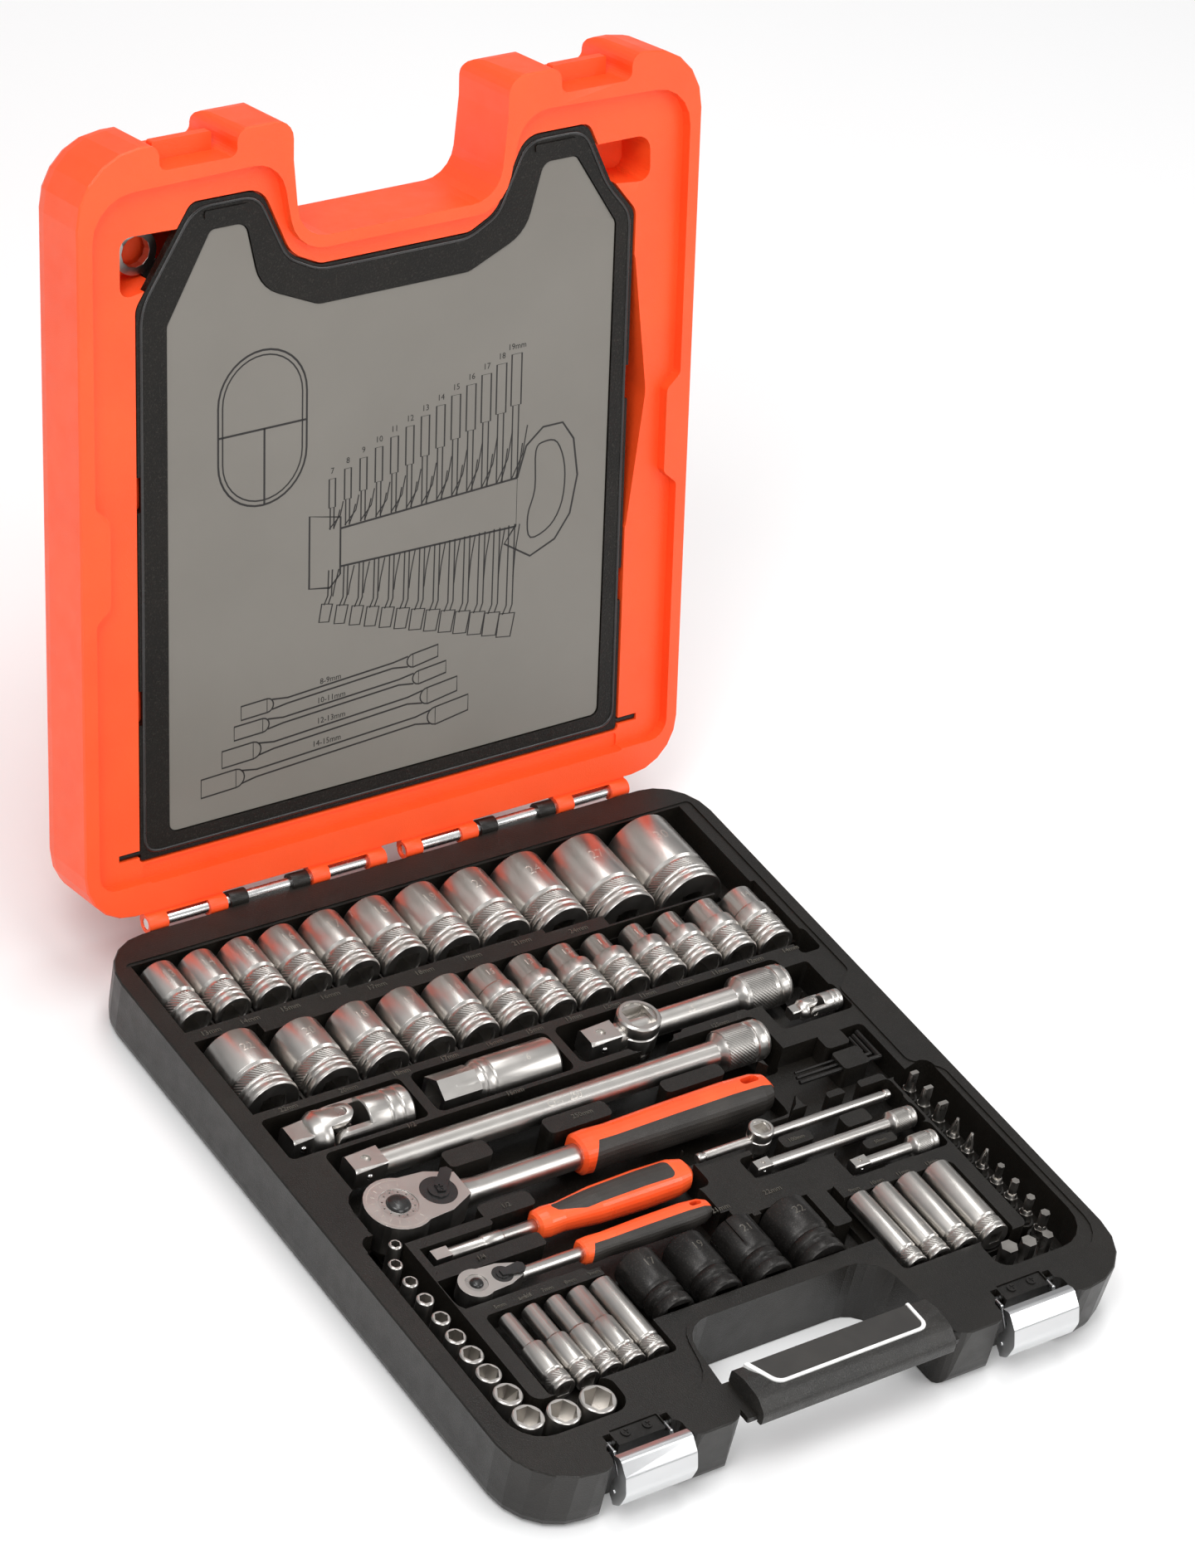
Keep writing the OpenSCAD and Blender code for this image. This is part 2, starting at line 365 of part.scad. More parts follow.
module impact_sockets() color([0.07, 0.07, 0.07]) for (s = IMPACT) at_y(s[0], -127, 41 - s[1]) difference() {
  rotate_extrude($fn = 64) polygon([[0, 0], [s[1] - 1.6, 0], [s[1] - 0.6, 1], [s[1] - 0.6, 5], [s[1] - 2, 6], [s[1] - 2, 8], [s[1] - 0.6, 9],
    [s[1] - 0.6, 12], [s[1] - 1.4, 13.5], [s[1], 16], [s[1], 35], [s[1] - 1, 36], [0, 36]]);
  translate([-sq_half / 2, -sq_half / 2, -1]) cube([sq_half, sq_half, 16]);
  translate([0, 0, 20]) cylinder(h = 20, r = s[2] / sqrt(3), $fn = 6);
}
module deep_socket(r, rn, af) difference() {
  rotate_extrude($fn = 56) polygon([[0, 0], [r - 0.6, 0], [r - 0.2, 0.5], [r - 0.2, 2], [r - 0.7, 2.3], [r - 0.7, 3], [r - 0.2, 3.3], [r - 0.2, 8], [r - 0.7, 8.4],
    [r - 0.7, 9.2], [r, 10], [r, 27], [rn, 28.5], [rn, 48.4], [rn - 0.6, 49], [0, 49]]);
  translate([-sq_quarter / 2, -sq_quarter / 2, -1]) cube([sq_quarter, sq_quarter, 9]);
  translate([0, 0, 29]) cylinder(h = 30, r = af / sqrt(3), $fn = 6);
}
module deep_sockets_left() color([0.72, 0.71, 0.69]) for (s = DEEPL) at_y(s[0], -146.5, ZQ - 1) deep_socket(6.3, s[1], min(s[2], s[1] * 1.4));
module deep_sockets_right() color([0.72, 0.71, 0.69]) for (s = DEEPR) at_y(s[0], -149.3, ZQ - 1) deep_socket(s[1], s[1], s[2]);
module quarter_sockets_upright() color([0.8, 0.79, 0.78]) for (s = UPR) translate([s[0], s[1], 11]) difference() {
  rotate_extrude($fn = 56) polygon([[0, 0], [s[2] / 2 - 0.5, 0], [s[2] / 2, 0.6], [s[2] / 2, 24.4], [s[2] / 2 - 0.6, 25], [0, 25]]);
  translate([0, 0, 14]) cylinder(h = 20, r = s[3] / sqrt(3) * 0.98, $fn = 6);
}
module screwdriver_bits() color([0.62, 0.61, 0.6]) {
  for (i = [0:9]) translate([BITX, BITY[i], 22]) {
    cylinder(h = 8.5, r = 3.6, $fn = 6);
    translate([0, 0, 8.5]) cylinder(h = 2, r1 = 3.1, r2 = 2.3, $fn = 32);
    if (i < 3) difference() {
      translate([0, 0, 8]) cylinder(h = 11, r = 2.3 + 0.25 * i, $fn = 32);
      for (e = [-1, 1]) translate([-5, e * 4.2 - 1.5, 12]) rotate([e * 12, 0, 0]) cube([10, 3, 12]);
    }
    else if (i < 6) intersection() {
      union() {
        translate([-3, -0.6, 8]) cube([6, 1.2, 11]);
        translate([-0.6, -3, 8]) cube([1.2, 6, 11]);
        translate([0, 0, 8]) cylinder(h = 8, r1 = 2, r2 = 1.1, $fn = 24);
      }
      translate([0, 0, 7.5]) cylinder(h = 11.5, r1 = 4, r2 = 0.7, $fn = 32);
    }
    else translate([0, 0, 8]) cylinder(h = 10.5, r = 1.9 + 0.2 * (i - 6), $fn = 6);
  }
  for (f = FBITS) translate([f[0], f[1], 24]) cylinder(h = 12.5, r = f[2], $fn = 6);
}
module hex_key(x, y, L, rise, w) {
  translate([x - L, y, 33]) rotate([0, 90, 0]) cylinder(h = L + w * 0.6, r = w, $fn = 6);
  translate([x, y - w * 0.6, 33]) rotate([-90, 0, 0]) cylinder(h = rise, r = w, $fn = 6);
}
module hex_keys() color([0.07, 0.07, 0.07]) { hex_key(148.5, -23, 50, 20, 1.25); hex_key(145, -19.6, 46, 15, 1); hex_key(142.2, -16.4, 42, 11, 0.75); }

// extension bar along +x from its male square at x = 0 to the female collar
module extension(L, rs, rc, lc, sq, k) difference() {
  union() {
    translate([0, 0, 0]) rotate([0, 90, 0]) rotate_extrude($fn = 64) polygon([[0, 17 * k], [sq * 0.5, 17 * k], [rs, 19.5 * k], [rs, L - lc - 3 * k], [rc - 0.7 * k, L - lc], [rc, L - lc + 1 * k],
      [rc, L - 9 * k], [rc - 0.7 * k, L - 8.5 * k], [rc - 0.7 * k, L - 7.8 * k], [rc, L - 7.4 * k], [rc, L - 3.2 * k], [rc - 0.7 * k, L - 2.8 * k], [rc - 0.7 * k, L - 2 * k], [rc - 0.2 * k, L - 1.6 * k], [rc - 1 * k, L], [0, L]]);
    intersection() {
      translate([0, -sq / 2, -sq / 2]) cube([18 * k, sq, sq]);
      rotate([0, 90, 0]) cylinder(h = 18 * k, r1 = sq * 0.62, r2 = sq * 0.68, $fn = 48);
    }
  }
  translate([L - 15 * k, -sq / 2 - 0.05, -sq / 2 - 0.05]) cube([16 * k, sq + 0.1, sq + 0.1]);
  translate([9 * k, 0, sq / 2 - 1.4 * k]) cylinder(h = 4 * k, r = 2.5 * k, $fn = 32);
}
module half_extension_long() color([0.75, 0.74, 0.72]) translate([-143, 13, ZH]) extension(243.5, half_shaft_r, 10.5, 26, sq_half, 1);
module half_extension_short() color([0.78, 0.77, 0.75]) translate([13.5, 42.6, ZH]) extension(122.5, half_shaft_r, 10.5, 29, sq_half, 1);
module half_sliding_tee() color([0.74, 0.7, 0.68]) difference() {
  union() {
    translate([45, 42.6, 0]) rotate_extrude($fn = 72) polygon([[0, 17], [9.4, 17], [10.6, 18.2], [10.6, 22], [10, 22.6], [10, 23.6], [11.3, 24.4], [11.3, 33], [10.7, 33.5], [10.7, 34.3], [11.3, 34.8], [11.3, 40.2], [10.3, 41.2], [0, 41.2]]);
    translate([45 - 6.3, 42.6 - 6.3, 7]) cube([12.6, 12.6, 11]);
  }
  cyl_x(30, 60, 42.6, ZH, half_shaft_r + 0.08);
  translate([45 - 6.4, 42.6 - 6.4, 34.4]) cube([12.8, 12.8, 9]);
  cyl_z(40, 43, 45, 42.6, 8.8);
}
module quarter_extension_100() color([0.78, 0.77, 0.75]) translate([40, -64.4, ZQ]) extension(97, quarter_shaft_r, 5.6, 14, sq_quarter, 0.5);
module quarter_extension_50() color([0.78, 0.77, 0.75]) translate([86, -82.4, ZQ]) extension(51, quarter_shaft_r, 5.6, 14, sq_quarter, 0.5);
module quarter_tee_bar() color([0.78, 0.77, 0.75]) {
  translate([18, -47, ZQ]) rotate([0, 90, 0]) rotate_extrude($fn = 40) polygon([[0, 0], [2, 0], [2.5, 0.6], [2.5, 3], [2, 3.4], [2, 4.2], [2.5, 4.6],
    [2.5, 113.4], [2, 113.8], [2, 114.6], [2.5, 115], [2.5, 117.4], [2, 118], [0, 118]]);
}
module quarter_tee_head() color([0.74, 0.7, 0.68]) difference() {
  union() {
    translate([55.5, -47, 0]) rotate_extrude($fn = 56) polygon([[0, 27], [5.4, 27], [6.4, 28], [6.4, 34], [6, 34.3], [6, 35], [6.4, 35.3], [6.4, 39.6], [5.8, 40.2], [0, 40.2]]);
    translate([55.5 - 3.15, -50.15, 23]) cube([6.3, 6.3, 5]);
  }
  cyl_x(45, 66, -47, ZQ, 2.57);
  translate([55.5 - 3.2, -50.2, 35.9]) cube([6.4, 6.4, 6]);
  cyl_z(39.3, 42, 55.5, -47, 4.6);
}

// universal joint about the origin, drive end towards -x, sized for a body radius of 11.5
module joint_socket_yoke() difference() {
  union() {
    rotate([0, 90, 0]) rotate_extrude($fn = 64) polygon([[0, 12.8], [10.8, 12.8], [11.5, 13.5], [11.5, 24], [10.9, 24.6], [10.9, 25.6], [11.5, 26.2], [11.5, 30.4], [10.9, 31], [10.9, 32], [11.5, 32.6], [11.5, 37], [10.4, 38.2], [0, 38.2]]);
    intersection() {
      rotate([0, 90, 0]) translate([0, 0, -12]) cylinder(h = 30, r = 11.5, $fn = 64);
      union() {
        for (e = [-1, 1]) {
          translate([0, e * 9.25 - 2.25, -6.2]) cube([14, 4.5, 12.4]);
          translate([0, e * 9.25 - 2.25, 0]) rotate([-90, 0, 0]) cylinder(h = 4.5, r = 6.2, $fn = 48);
        }
      }
    }
  }
  rotate([-90, 0, 0]) translate([0, 0, -20]) cylinder(h = 40, r = 3.05, $fn = 40);
  translate([22, -sq_half / 2, -sq_half / 2]) cube([20, sq_half, sq_half]);
}
module joint_cross() {
  translate([-4.6, -4.6, -4.6]) cube([9.2, 9.2, 9.2]);
  rotate([-90, 0, 0]) translate([0, 0, -10.6]) cylinder(h = 21.2, r = 3, $fn = 40);
  translate([0, 0, -10.6]) cylinder(h = 21.2, r = 3, $fn = 40);
}
module joint_drive_yoke() difference() {
  union() {
    rotate([0, -90, 0]) rotate_extrude($fn = 64) polygon([[0, 8.6], [11.5, 8.6], [11.5, 12], [9, 16.5], [8, 17.5], [0, 17.5]]);
    intersection() {
      rotate([0, -90, 0]) translate([0, 0, -12]) cylinder(h = 30, r = 11.5, $fn = 64);
      union() {
        for (e = [-1, 1]) {
          translate([-12, -6.2, e * 9.25 - 2.25]) cube([12, 12.4, 4.5]);
          translate([0, 0, e * 9.25 - 2.25]) cylinder(h = 4.5, r = 6.2, $fn = 48);
        }
      }
    }
    intersection() {
      translate([-28.5, -sq_half / 2, -sq_half / 2]) cube([12, sq_half, sq_half]);
      translate([-28.5, 0, 0]) rotate([0, 90, 0]) cylinder(h = 12, r1 = sq_half * 0.62, r2 = sq_half * 0.68, $fn = 48);
    }
  }
  translate([0, 0, -20]) cylinder(h = 40, r = 3.05, $fn = 40);
}
UH = [-130.5, 42.2, 30];
UQ = [137, 20.4, ZQ];
module half_joint_socket_yoke() color([0.76, 0.75, 0.73]) translate(UH) joint_socket_yoke();
module half_joint_cross() color([0.5, 0.49, 0.48]) translate(UH) joint_cross();
module half_joint_drive_yoke() color([0.76, 0.75, 0.73]) translate(UH) joint_drive_yoke();
module quarter_joint_socket_yoke() color([0.76, 0.75, 0.73]) translate(UQ) scale(0.46) joint_socket_yoke();
module quarter_joint_cross() color([0.5, 0.49, 0.48]) translate(UQ) scale(0.46) joint_cross();
module quarter_joint_drive_yoke() color([0.76, 0.75, 0.73]) translate(UQ) scale(0.46) joint_drive_yoke();

module spark_plug_socket() color([0.78, 0.77, 0.75]) translate([-75.5, 42.2, 30]) difference() {
  union() {
    rotate([0, 90, 0]) rotate_extrude($fn = 64) polygon([[0, 9], [9.2, 9], [9.4, 22], [10.8, 24], [10.8, 25], [11.5, 25.6], [11.5, 29], [10.9, 29.6], [10.9, 30.2], [11.5, 30.8], [11.5, 67.6], [10.4, 69], [0, 69]]);
    rotate([0, 90, 0]) translate([0, 0, 0]) rotate([0, 0, 0]) cylinder(h = 22, r = 10.6, $fn = 6);
  }
  translate([-1, -sq_half / 2, -sq_half / 2]) cube([16, sq_half, sq_half]);
  translate([36, 0, 0]) rotate([0, 90, 0]) cylinder(h = 40, r = 9.3, $fn = 6);
}
module spark_plug_insert() color([0.06, 0.06, 0.06]) translate([-75.5, 42.2, 30]) rotate([0, 90, 0]) translate([0, 0, 37]) difference() {
  cylinder(h = 12, r = 7.8, $fn = 48);
  translate([0, 0, -1]) cylinder(h = 14, r = 4.4, $fn = 48);
}

// ratchet head: teardrop plate of radius r narrowing to the neck
function teardrop(r, L, w) = concat([for (a = [60:12:300]) r * [cos(a), sin(a)]], [[L * 0.62, -r * 0.8], [L, -w], [L, w], [L * 0.62, r * 0.8]]);
module ratchet_body(r, L, w, z0, z1, sx0, sx1, rs, bx, br, sr, sxc, zc) difference() {
  union() {
    translate([0, 0, z0]) linear_extrude(z1 - z0) polygon(teardrop(r, L, w));
    rotate([0, 90, 0]) translate([-zc, 0, sx0]) cylinder(h = sx1 - sx0, r = rs, $fn = 56);
    rotate([0, 90, 0]) translate([-zc, 0, L - 4]) cylinder(h = sx0 - L + 5, r1 = w + 0.4, r2 = rs, $fn = 56);
  }
  translate([0, 0, z0 - 1]) cylinder(h = z1 - z0 + 2, r = br, $fn = 64);
  translate([sxc, 0, z1 - 5]) cylinder(h = 6, r = sr, $fn = 64);
}
HR = [-136.5, -19.2];
QR = [-131, -77.3];
module half_ratchet_body() color([0.74, 0.73, 0.71]) translate([HR[0], HR[1], 0]) ratchet_body(17, 36, 7.6, 20, 38, 44, 190, 6.4, 0, 9.6, 9.2, 22.4, 29.5);
module half_ratchet_drive() color([0.6, 0.59, 0.57]) translate([HR[0], HR[1], 0]) difference() {
  union() {
    cyl_z(18.6, 37.6, 0, 0, 9.52);
    translate([-sq_half / 2, -sq_half / 2, 6]) cube([sq_half, sq_half, 13]);
  }
  cyl_z(33, 39, 0, 0, 6.06);
  for (a = [0:30:330]) rotate([0, 0, a]) cyl_z(36.8, 39, 7.8, 0, 0.45);
}
module half_ratchet_button() color([0.12, 0.12, 0.12]) translate([HR[0], HR[1], 0]) rotate_extrude($fn = 48) polygon([[0, 35.2], [6, 35.2], [6, 37.8], [5.2, 39], [3.4, 39.8], [0, 40.2]]);
module half_ratchet_selector() color([0.1, 0.1, 0.1]) translate([HR[0] + 22.4, HR[1], 0]) difference() {
  union() {
    cyl_z(33.6, 38, 0, 0, 9.12);
    cyl_z(37.9, 38.9, 0, 0, 5.2);
    linear_extrude(39.8) polygon([[-1.5, -2], [2, -3], [12.4, 7.6], [11, 10.6], [7.6, 11], [-1, 2.6]]);
  }
  translate([-20, -20, 0]) cube([40, 40, 33.6]);
  difference() { translate([-20, -20, 33]) cube([40, 40, 5.3]); cyl_z(33, 38.4, 0, 0, 9.12); }
  for (a = [0, 60, 120]) translate([0, 0, 40]) rotate([0, 0, a]) cube([4.4, 0.8, 1.4], center = true);
}
// handle section: half-width a, half-height b, built from a many-sided outline
function oval(a, b, n = 28) = [for (i = [0:n - 1]) [a * sign(cos(360 * i / n)) * pow(abs(cos(360 * i / n)), 0.8), b * sign(sin(360 * i / n)) * pow(abs(sin(360 * i / n)), 0.8)]];
module grip_blank(stations, n = 28) {
  m = n;
  k = len(stations);
  polyhedron(points = [for (s = stations) for (q = oval(s[1], s[2], n)) [s[0], q[0] + s[3], q[1] + s[4]]],
    faces = concat([[for (i = [0:m - 1]) i]], [[for (i = [m - 1:-1:0]) (k - 1) * m + i]],
      [for (j = [0:k - 2]) for (i = [0:m - 1]) let (a = j * m + i, b = j * m + (i + 1) % m) each [[a, b + m, b], [a, a + m, b + m]]]));
}
HG = [[0, 8.2, 8.2, 0, 0], [1.5, 9.8, 9.6, 0, 0], [8, 10.2, 9.8, 0, 0], [20, 9.6, 9.4, 0, 0], [55, 10.4, 10, 0, 0], [90, 10.8, 10.2, 0, 0], [108, 10.2, 9.6, 0, 0], [114, 8.4, 8.2, 0, 0], [116.5, 5.4, 5.6, 0, 0]];
// the orange part is the upper back of the handle plus a slanted collar
module half_split() union() {
  translate([-4, 0, 0]) rotate([90, 0, 90]) linear_extrude(130) polygon([[-3.4, 14], [-3.4, 3.2], [14, -6], [14, 14]]);
  translate([0, 0, -14]) linear_extrude(28) polygon([[-4, 14], [-4, -14], [3.4, -14], [10, -3.4], [16, 14]]);
}
module half_ratchet_grip_orange() color([1, 0.36, 0.16]) translate([-33.5, HR[1] + 0.8, 29.5]) intersection() { half_grip_blank_at(); half_split(); }
module half_ratchet_grip_black() color([0.16, 0.15, 0.15]) translate([-33.5, HR[1] + 0.8, 29.5]) difference() { half_grip_blank_at(); half_split(); }
module half_grip_blank_at() difference() {
  grip_blank(HG);
  translate([-5, -0.8, 0]) rotate([0, 90, 0]) cylinder(h = 93.2, r = 6.44, $fn = 56);
  for (dx = [-3, 3]) translate([104.5 + dx, 2.6, -14]) cylinder(h = 28, r = 2.3, $fn = 32);
  translate([101.5, 0.3, -14]) cube([6, 4.6, 28]);
}
module quarter_ratchet_body() color([0.74, 0.73, 0.71]) translate([QR[0], QR[1], 0]) ratchet_body(9, 24, 4, 28, 37.6, 27, 98, 3.25, 0, 5.5, 5.2, 14.4, ZQ);
module quarter_ratchet_drive() color([0.6, 0.59, 0.57]) translate([QR[0], QR[1], 0]) difference() {
  union() {
    cyl_z(27, 37.2, 0, 0, 5.43);
    translate([-sq_quarter / 2, -sq_quarter / 2, 20]) cube([sq_quarter, sq_quarter, 8]);
  }
  cyl_z(34.5, 39, 0, 0, 3.36);
}
module quarter_ratchet_button() color([0.12, 0.12, 0.12]) translate([QR[0], QR[1], 0]) rotate_extrude($fn = 40) polygon([[0, 35.6], [3.3, 35.6], [3.3, 37.5], [2.8, 38.3], [1.8, 38.8], [0, 39]]);
module quarter_ratchet_selector() color([0.1, 0.1, 0.1]) translate([QR[0] + 14.4, QR[1], 0]) difference() {
  union() {
    cyl_z(34.2, 37.6, 0, 0, 5.13);
    cyl_z(37.5, 38.2, 0, 0, 3);
    linear_extrude(38.9) polygon([[-1, -1.6], [10, -3.4], [12, -1.6], [12, 1.6], [10, 3.2], [-1, 1.8]]);
  }
  translate([-20, -20, 0]) cube([40, 40, 34.2]);
  difference() { translate([-20, -20, 34]) cube([40, 40, 3.9]); cyl_z(33, 38, 0, 0, 5.13); }
}
QG = [[0, 5, 4.6, 0, 0], [1, 6, 5.4, 0, 0], [6, 6.4, 5.6, 0, 0], [14, 6, 5.4, 0, 0], [36, 6.6, 5.8, 0, 0], [60, 6.8, 5.8, 0, 0], [70, 6, 5.2, 0, 0], [74, 4.4, 4, 0, 0], [75, 3, 3, 0, 0]];
module quarter_split() union() {
  translate([-4, 0, 0]) rotate([90, 0, 90]) linear_extrude(90) polygon([[-1.8, 9], [-1.8, 2], [9, -3.4], [9, 9]]);
  translate([0, 0, -9]) linear_extrude(18) polygon([[-4, 9], [-4, -9], [2.2, -9], [6, -2], [10, 9]]);
}
module quarter_grip_blank() difference() {
  grip_blank(QG, 24);
  translate([-5, -0.3, 0]) rotate([0, 90, 0]) cylinder(h = 58.2, r = 3.28, $fn = 48);
  for (dx = [-1.8, 1.8]) translate([67 + dx, 1.6, -9]) cylinder(h = 18, r = 1.5, $fn = 28);
  translate([65.2, 0.1, -9]) cube([3.6, 3, 18]);
}
module quarter_ratchet_grip_orange() color([1, 0.36, 0.16]) translate([-71.5, QR[1] + 0.3, ZQ]) intersection() { quarter_grip_blank(); quarter_split(); }
module quarter_ratchet_grip_black() color([0.16, 0.15, 0.15]) translate([-71.5, QR[1] + 0.3, ZQ]) difference() { quarter_grip_blank(); quarter_split(); }

SY = -51.6;
module spinner_shaft() color([0.76, 0.75, 0.73]) translate([-137.5, SY, ZH]) {
  rotate([0, 90, 0]) rotate_extrude($fn = 48) polygon([[0, 8], [3.1, 8], [3.3, 9.4], [3.3, 27], [3.8, 28], [3.8, 38], [3.3, 39], [3.3, 100], [0, 100]]);
  translate([0, -sq_quarter / 2, -sq_quarter / 2]) cube([9, sq_quarter, sq_quarter]);
}
SG = [[0, 5, 5, 0, 0], [1.2, 6.6, 6.4, 0, 0], [6, 7.2, 7, 0, 0], [14, 6.8, 6.6, 0, 0], [34, 9, 8.2, 0, 0], [60, 9.6, 8.8, 0, 0], [80, 9.2, 8.4, 0, 0], [87, 7.4, 7, 0, 0], [89.5, 4.6, 4.6, 0, 0]];
module spinner_insert_zone() union() {
  // insert sits in the upper face between the orange rails, open towards the collar
  translate([12, 0, 0]) linear_extrude(16) polygon(round_corners([[0, -1, 1], [14, -5.2, 6], [66, -5.4, 3], [66, 5.4, 3], [14, 4.8, 6], [-3, 3.5, 2]], 4));
}
module spinner_blank() difference() {
  grip_blank(SG);
  translate([-5, 0, 0]) rotate([0, 90, 0]) cylinder(h = 47.6, r = 3.34, $fn = 48);
}
module spinner_grip_orange() color([1, 0.36, 0.16]) translate([-80, SY, ZH]) difference() { spinner_blank(); spinner_insert_zone2(); }
module spinner_insert_zone2() translate([0, 0, 4.2]) spinner_insert_zone();
module spinner_grip_black() color([0.16, 0.15, 0.15]) translate([-80, SY, ZH]) intersection() { spinner_blank(); spinner_insert_zone2(); }

base_case();
handle_grip();
handle_badge();
handle_badge_trim();
lid_case();
spanner_door();
door_label();
hinge_pin_left();
hinge_pin_right();
latch_plates();
latch_screws();
latch_link_left();
latch_link_right();
latch_lever_left();
latch_lever_right();
combination_spanners();
half_ratchet_body();
half_ratchet_grip_orange();
half_ratchet_grip_black();
half_ratchet_selector();
half_ratchet_button();
half_ratchet_drive();
quarter_ratchet_body();
quarter_ratchet_grip_orange();
quarter_ratchet_grip_black();
quarter_ratchet_selector();
quarter_ratchet_button();
quarter_ratchet_drive();
spinner_shaft();
spinner_grip_orange();
spinner_grip_black();
half_extension_short();
half_sliding_tee();
half_extension_long();
half_joint_socket_yoke();
half_joint_cross();
half_joint_drive_yoke();
quarter_joint_socket_yoke();
quarter_joint_cross();
quarter_joint_drive_yoke();
spark_plug_socket();
spark_plug_insert();
quarter_tee_bar();
quarter_tee_head();
quarter_extension_100();
quarter_extension_50();
half_sockets_back_row();
half_sockets_front_row();
impact_sockets();
deep_sockets_left();
deep_sockets_right();
quarter_sockets_upright();
screwdriver_bits();
hex_keys();
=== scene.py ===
import math

import bpy
from mathutils import Matrix, Vector


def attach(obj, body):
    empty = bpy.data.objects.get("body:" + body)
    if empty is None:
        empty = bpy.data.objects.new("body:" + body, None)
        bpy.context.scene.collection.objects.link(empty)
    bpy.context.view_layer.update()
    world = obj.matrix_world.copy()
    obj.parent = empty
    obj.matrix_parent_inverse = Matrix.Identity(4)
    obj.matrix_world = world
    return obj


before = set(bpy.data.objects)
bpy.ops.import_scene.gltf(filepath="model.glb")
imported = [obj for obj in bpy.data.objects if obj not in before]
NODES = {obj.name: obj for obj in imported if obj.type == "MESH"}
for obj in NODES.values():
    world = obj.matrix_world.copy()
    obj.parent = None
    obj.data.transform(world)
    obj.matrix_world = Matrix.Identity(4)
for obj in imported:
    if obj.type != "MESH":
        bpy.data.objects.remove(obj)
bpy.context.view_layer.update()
S = bpy.context.scene
HB = 36.0

# ---------------------------------------------------------------- camera, world, light
az, el, roll = map(math.radians, (-43.44, 37.73, 14.09))
d = Vector((math.sin(az) * math.cos(el), -math.cos(az) * math.cos(el), math.sin(el)))
target = Vector((0.1645, 0.2376, 0.0))
right = (-d).cross(Vector((0, 0, 1))).normalized()
up = right.cross(-d)
r2 = math.cos(roll) * right + math.sin(roll) * up
u2 = -math.sin(roll) * right + math.cos(roll) * up
cd = bpy.data.cameras.new("camera")
cam = bpy.data.objects.new("camera", cd)
S.collection.objects.link(cam)
loc = target + 2.6804 * d
cam.matrix_world = Matrix(((r2.x, u2.x, d.x, loc.x), (r2.y, u2.y, d.y, loc.y), (r2.z, u2.z, d.z, loc.z), (0, 0, 0, 1)))
cd.lens, cd.sensor_width = 116.35, 36
cd.clip_start, cd.clip_end = 0.05, 60
S.camera = cam
S.view_settings.view_transform = "Standard"
S.view_settings.look = "None"

world = bpy.data.worlds.new("studio")
S.world = world
world.use_nodes = True
wn, wl = world.node_tree.nodes, world.node_tree.links
bg = wn["Background"]
tc, sep, cr = wn.new("ShaderNodeTexCoord"), wn.new("ShaderNodeSeparateXYZ"), wn.new("ShaderNodeValToRGB")
wl.new(tc.outputs["Generated"], sep.inputs[0])
wl.new(sep.outputs["Z"], cr.inputs[0])
cr.color_ramp.elements[0].position, cr.color_ramp.elements[0].color = 0.0, (0.92, 0.92, 0.92, 1)
cr.color_ramp.elements[1].position, cr.color_ramp.elements[1].color = 0.9, (1, 1, 1, 1)
for p, c in ((0.1, 0.85), (0.32, 0.26), (0.55, 0.6)):
    e = cr.color_ramp.elements.new(p)
    e.color = (c, c, c * 1.01, 1)
wl.new(cr.outputs[0], bg.inputs[0])
bg.inputs[1].default_value = 0.7


def light(name, at, aim, sx, sy, power, colour=(1, 1, 1)):
    li = bpy.data.lights.new(name, "AREA")
    li.shape, li.size, li.size_y, li.energy, li.color = "RECTANGLE", sx, sy, power, colour
    o = bpy.data.objects.new(name, li)
    S.collection.objects.link(o)
    o.location = at
    o.rotation_mode = "QUATERNION"
    o.rotation_quaternion = (Vector(aim) - Vector(at)).to_track_quat("-Z", "Y")
    return o


light("key", (-1.3, -0.5, 2.0), (0, 0.05, 0.05), 0.9, 1.3, 26)
light("fill", (1.9, -1.5, 1.5), (0, 0.1, 0.1), 1.6, 1.2, 22)
light("top", (0.2, 0.3, 2.6), (0, 0, 0), 0.5, 2.0, 20)
light("front", (-0.4, -2.4, 1.1), (0, 0.1, 0.15), 1.4, 0.8, 16)


# ---------------------------------------------------------------- materials
def lin(c):
    c /= 255.0
    return c / 12.92 if c <= 0.04045 else ((c + 0.055) / 1.055) ** 2.4


def rgb(r, g, b):
    return (lin(r), lin(g), lin(b), 1)


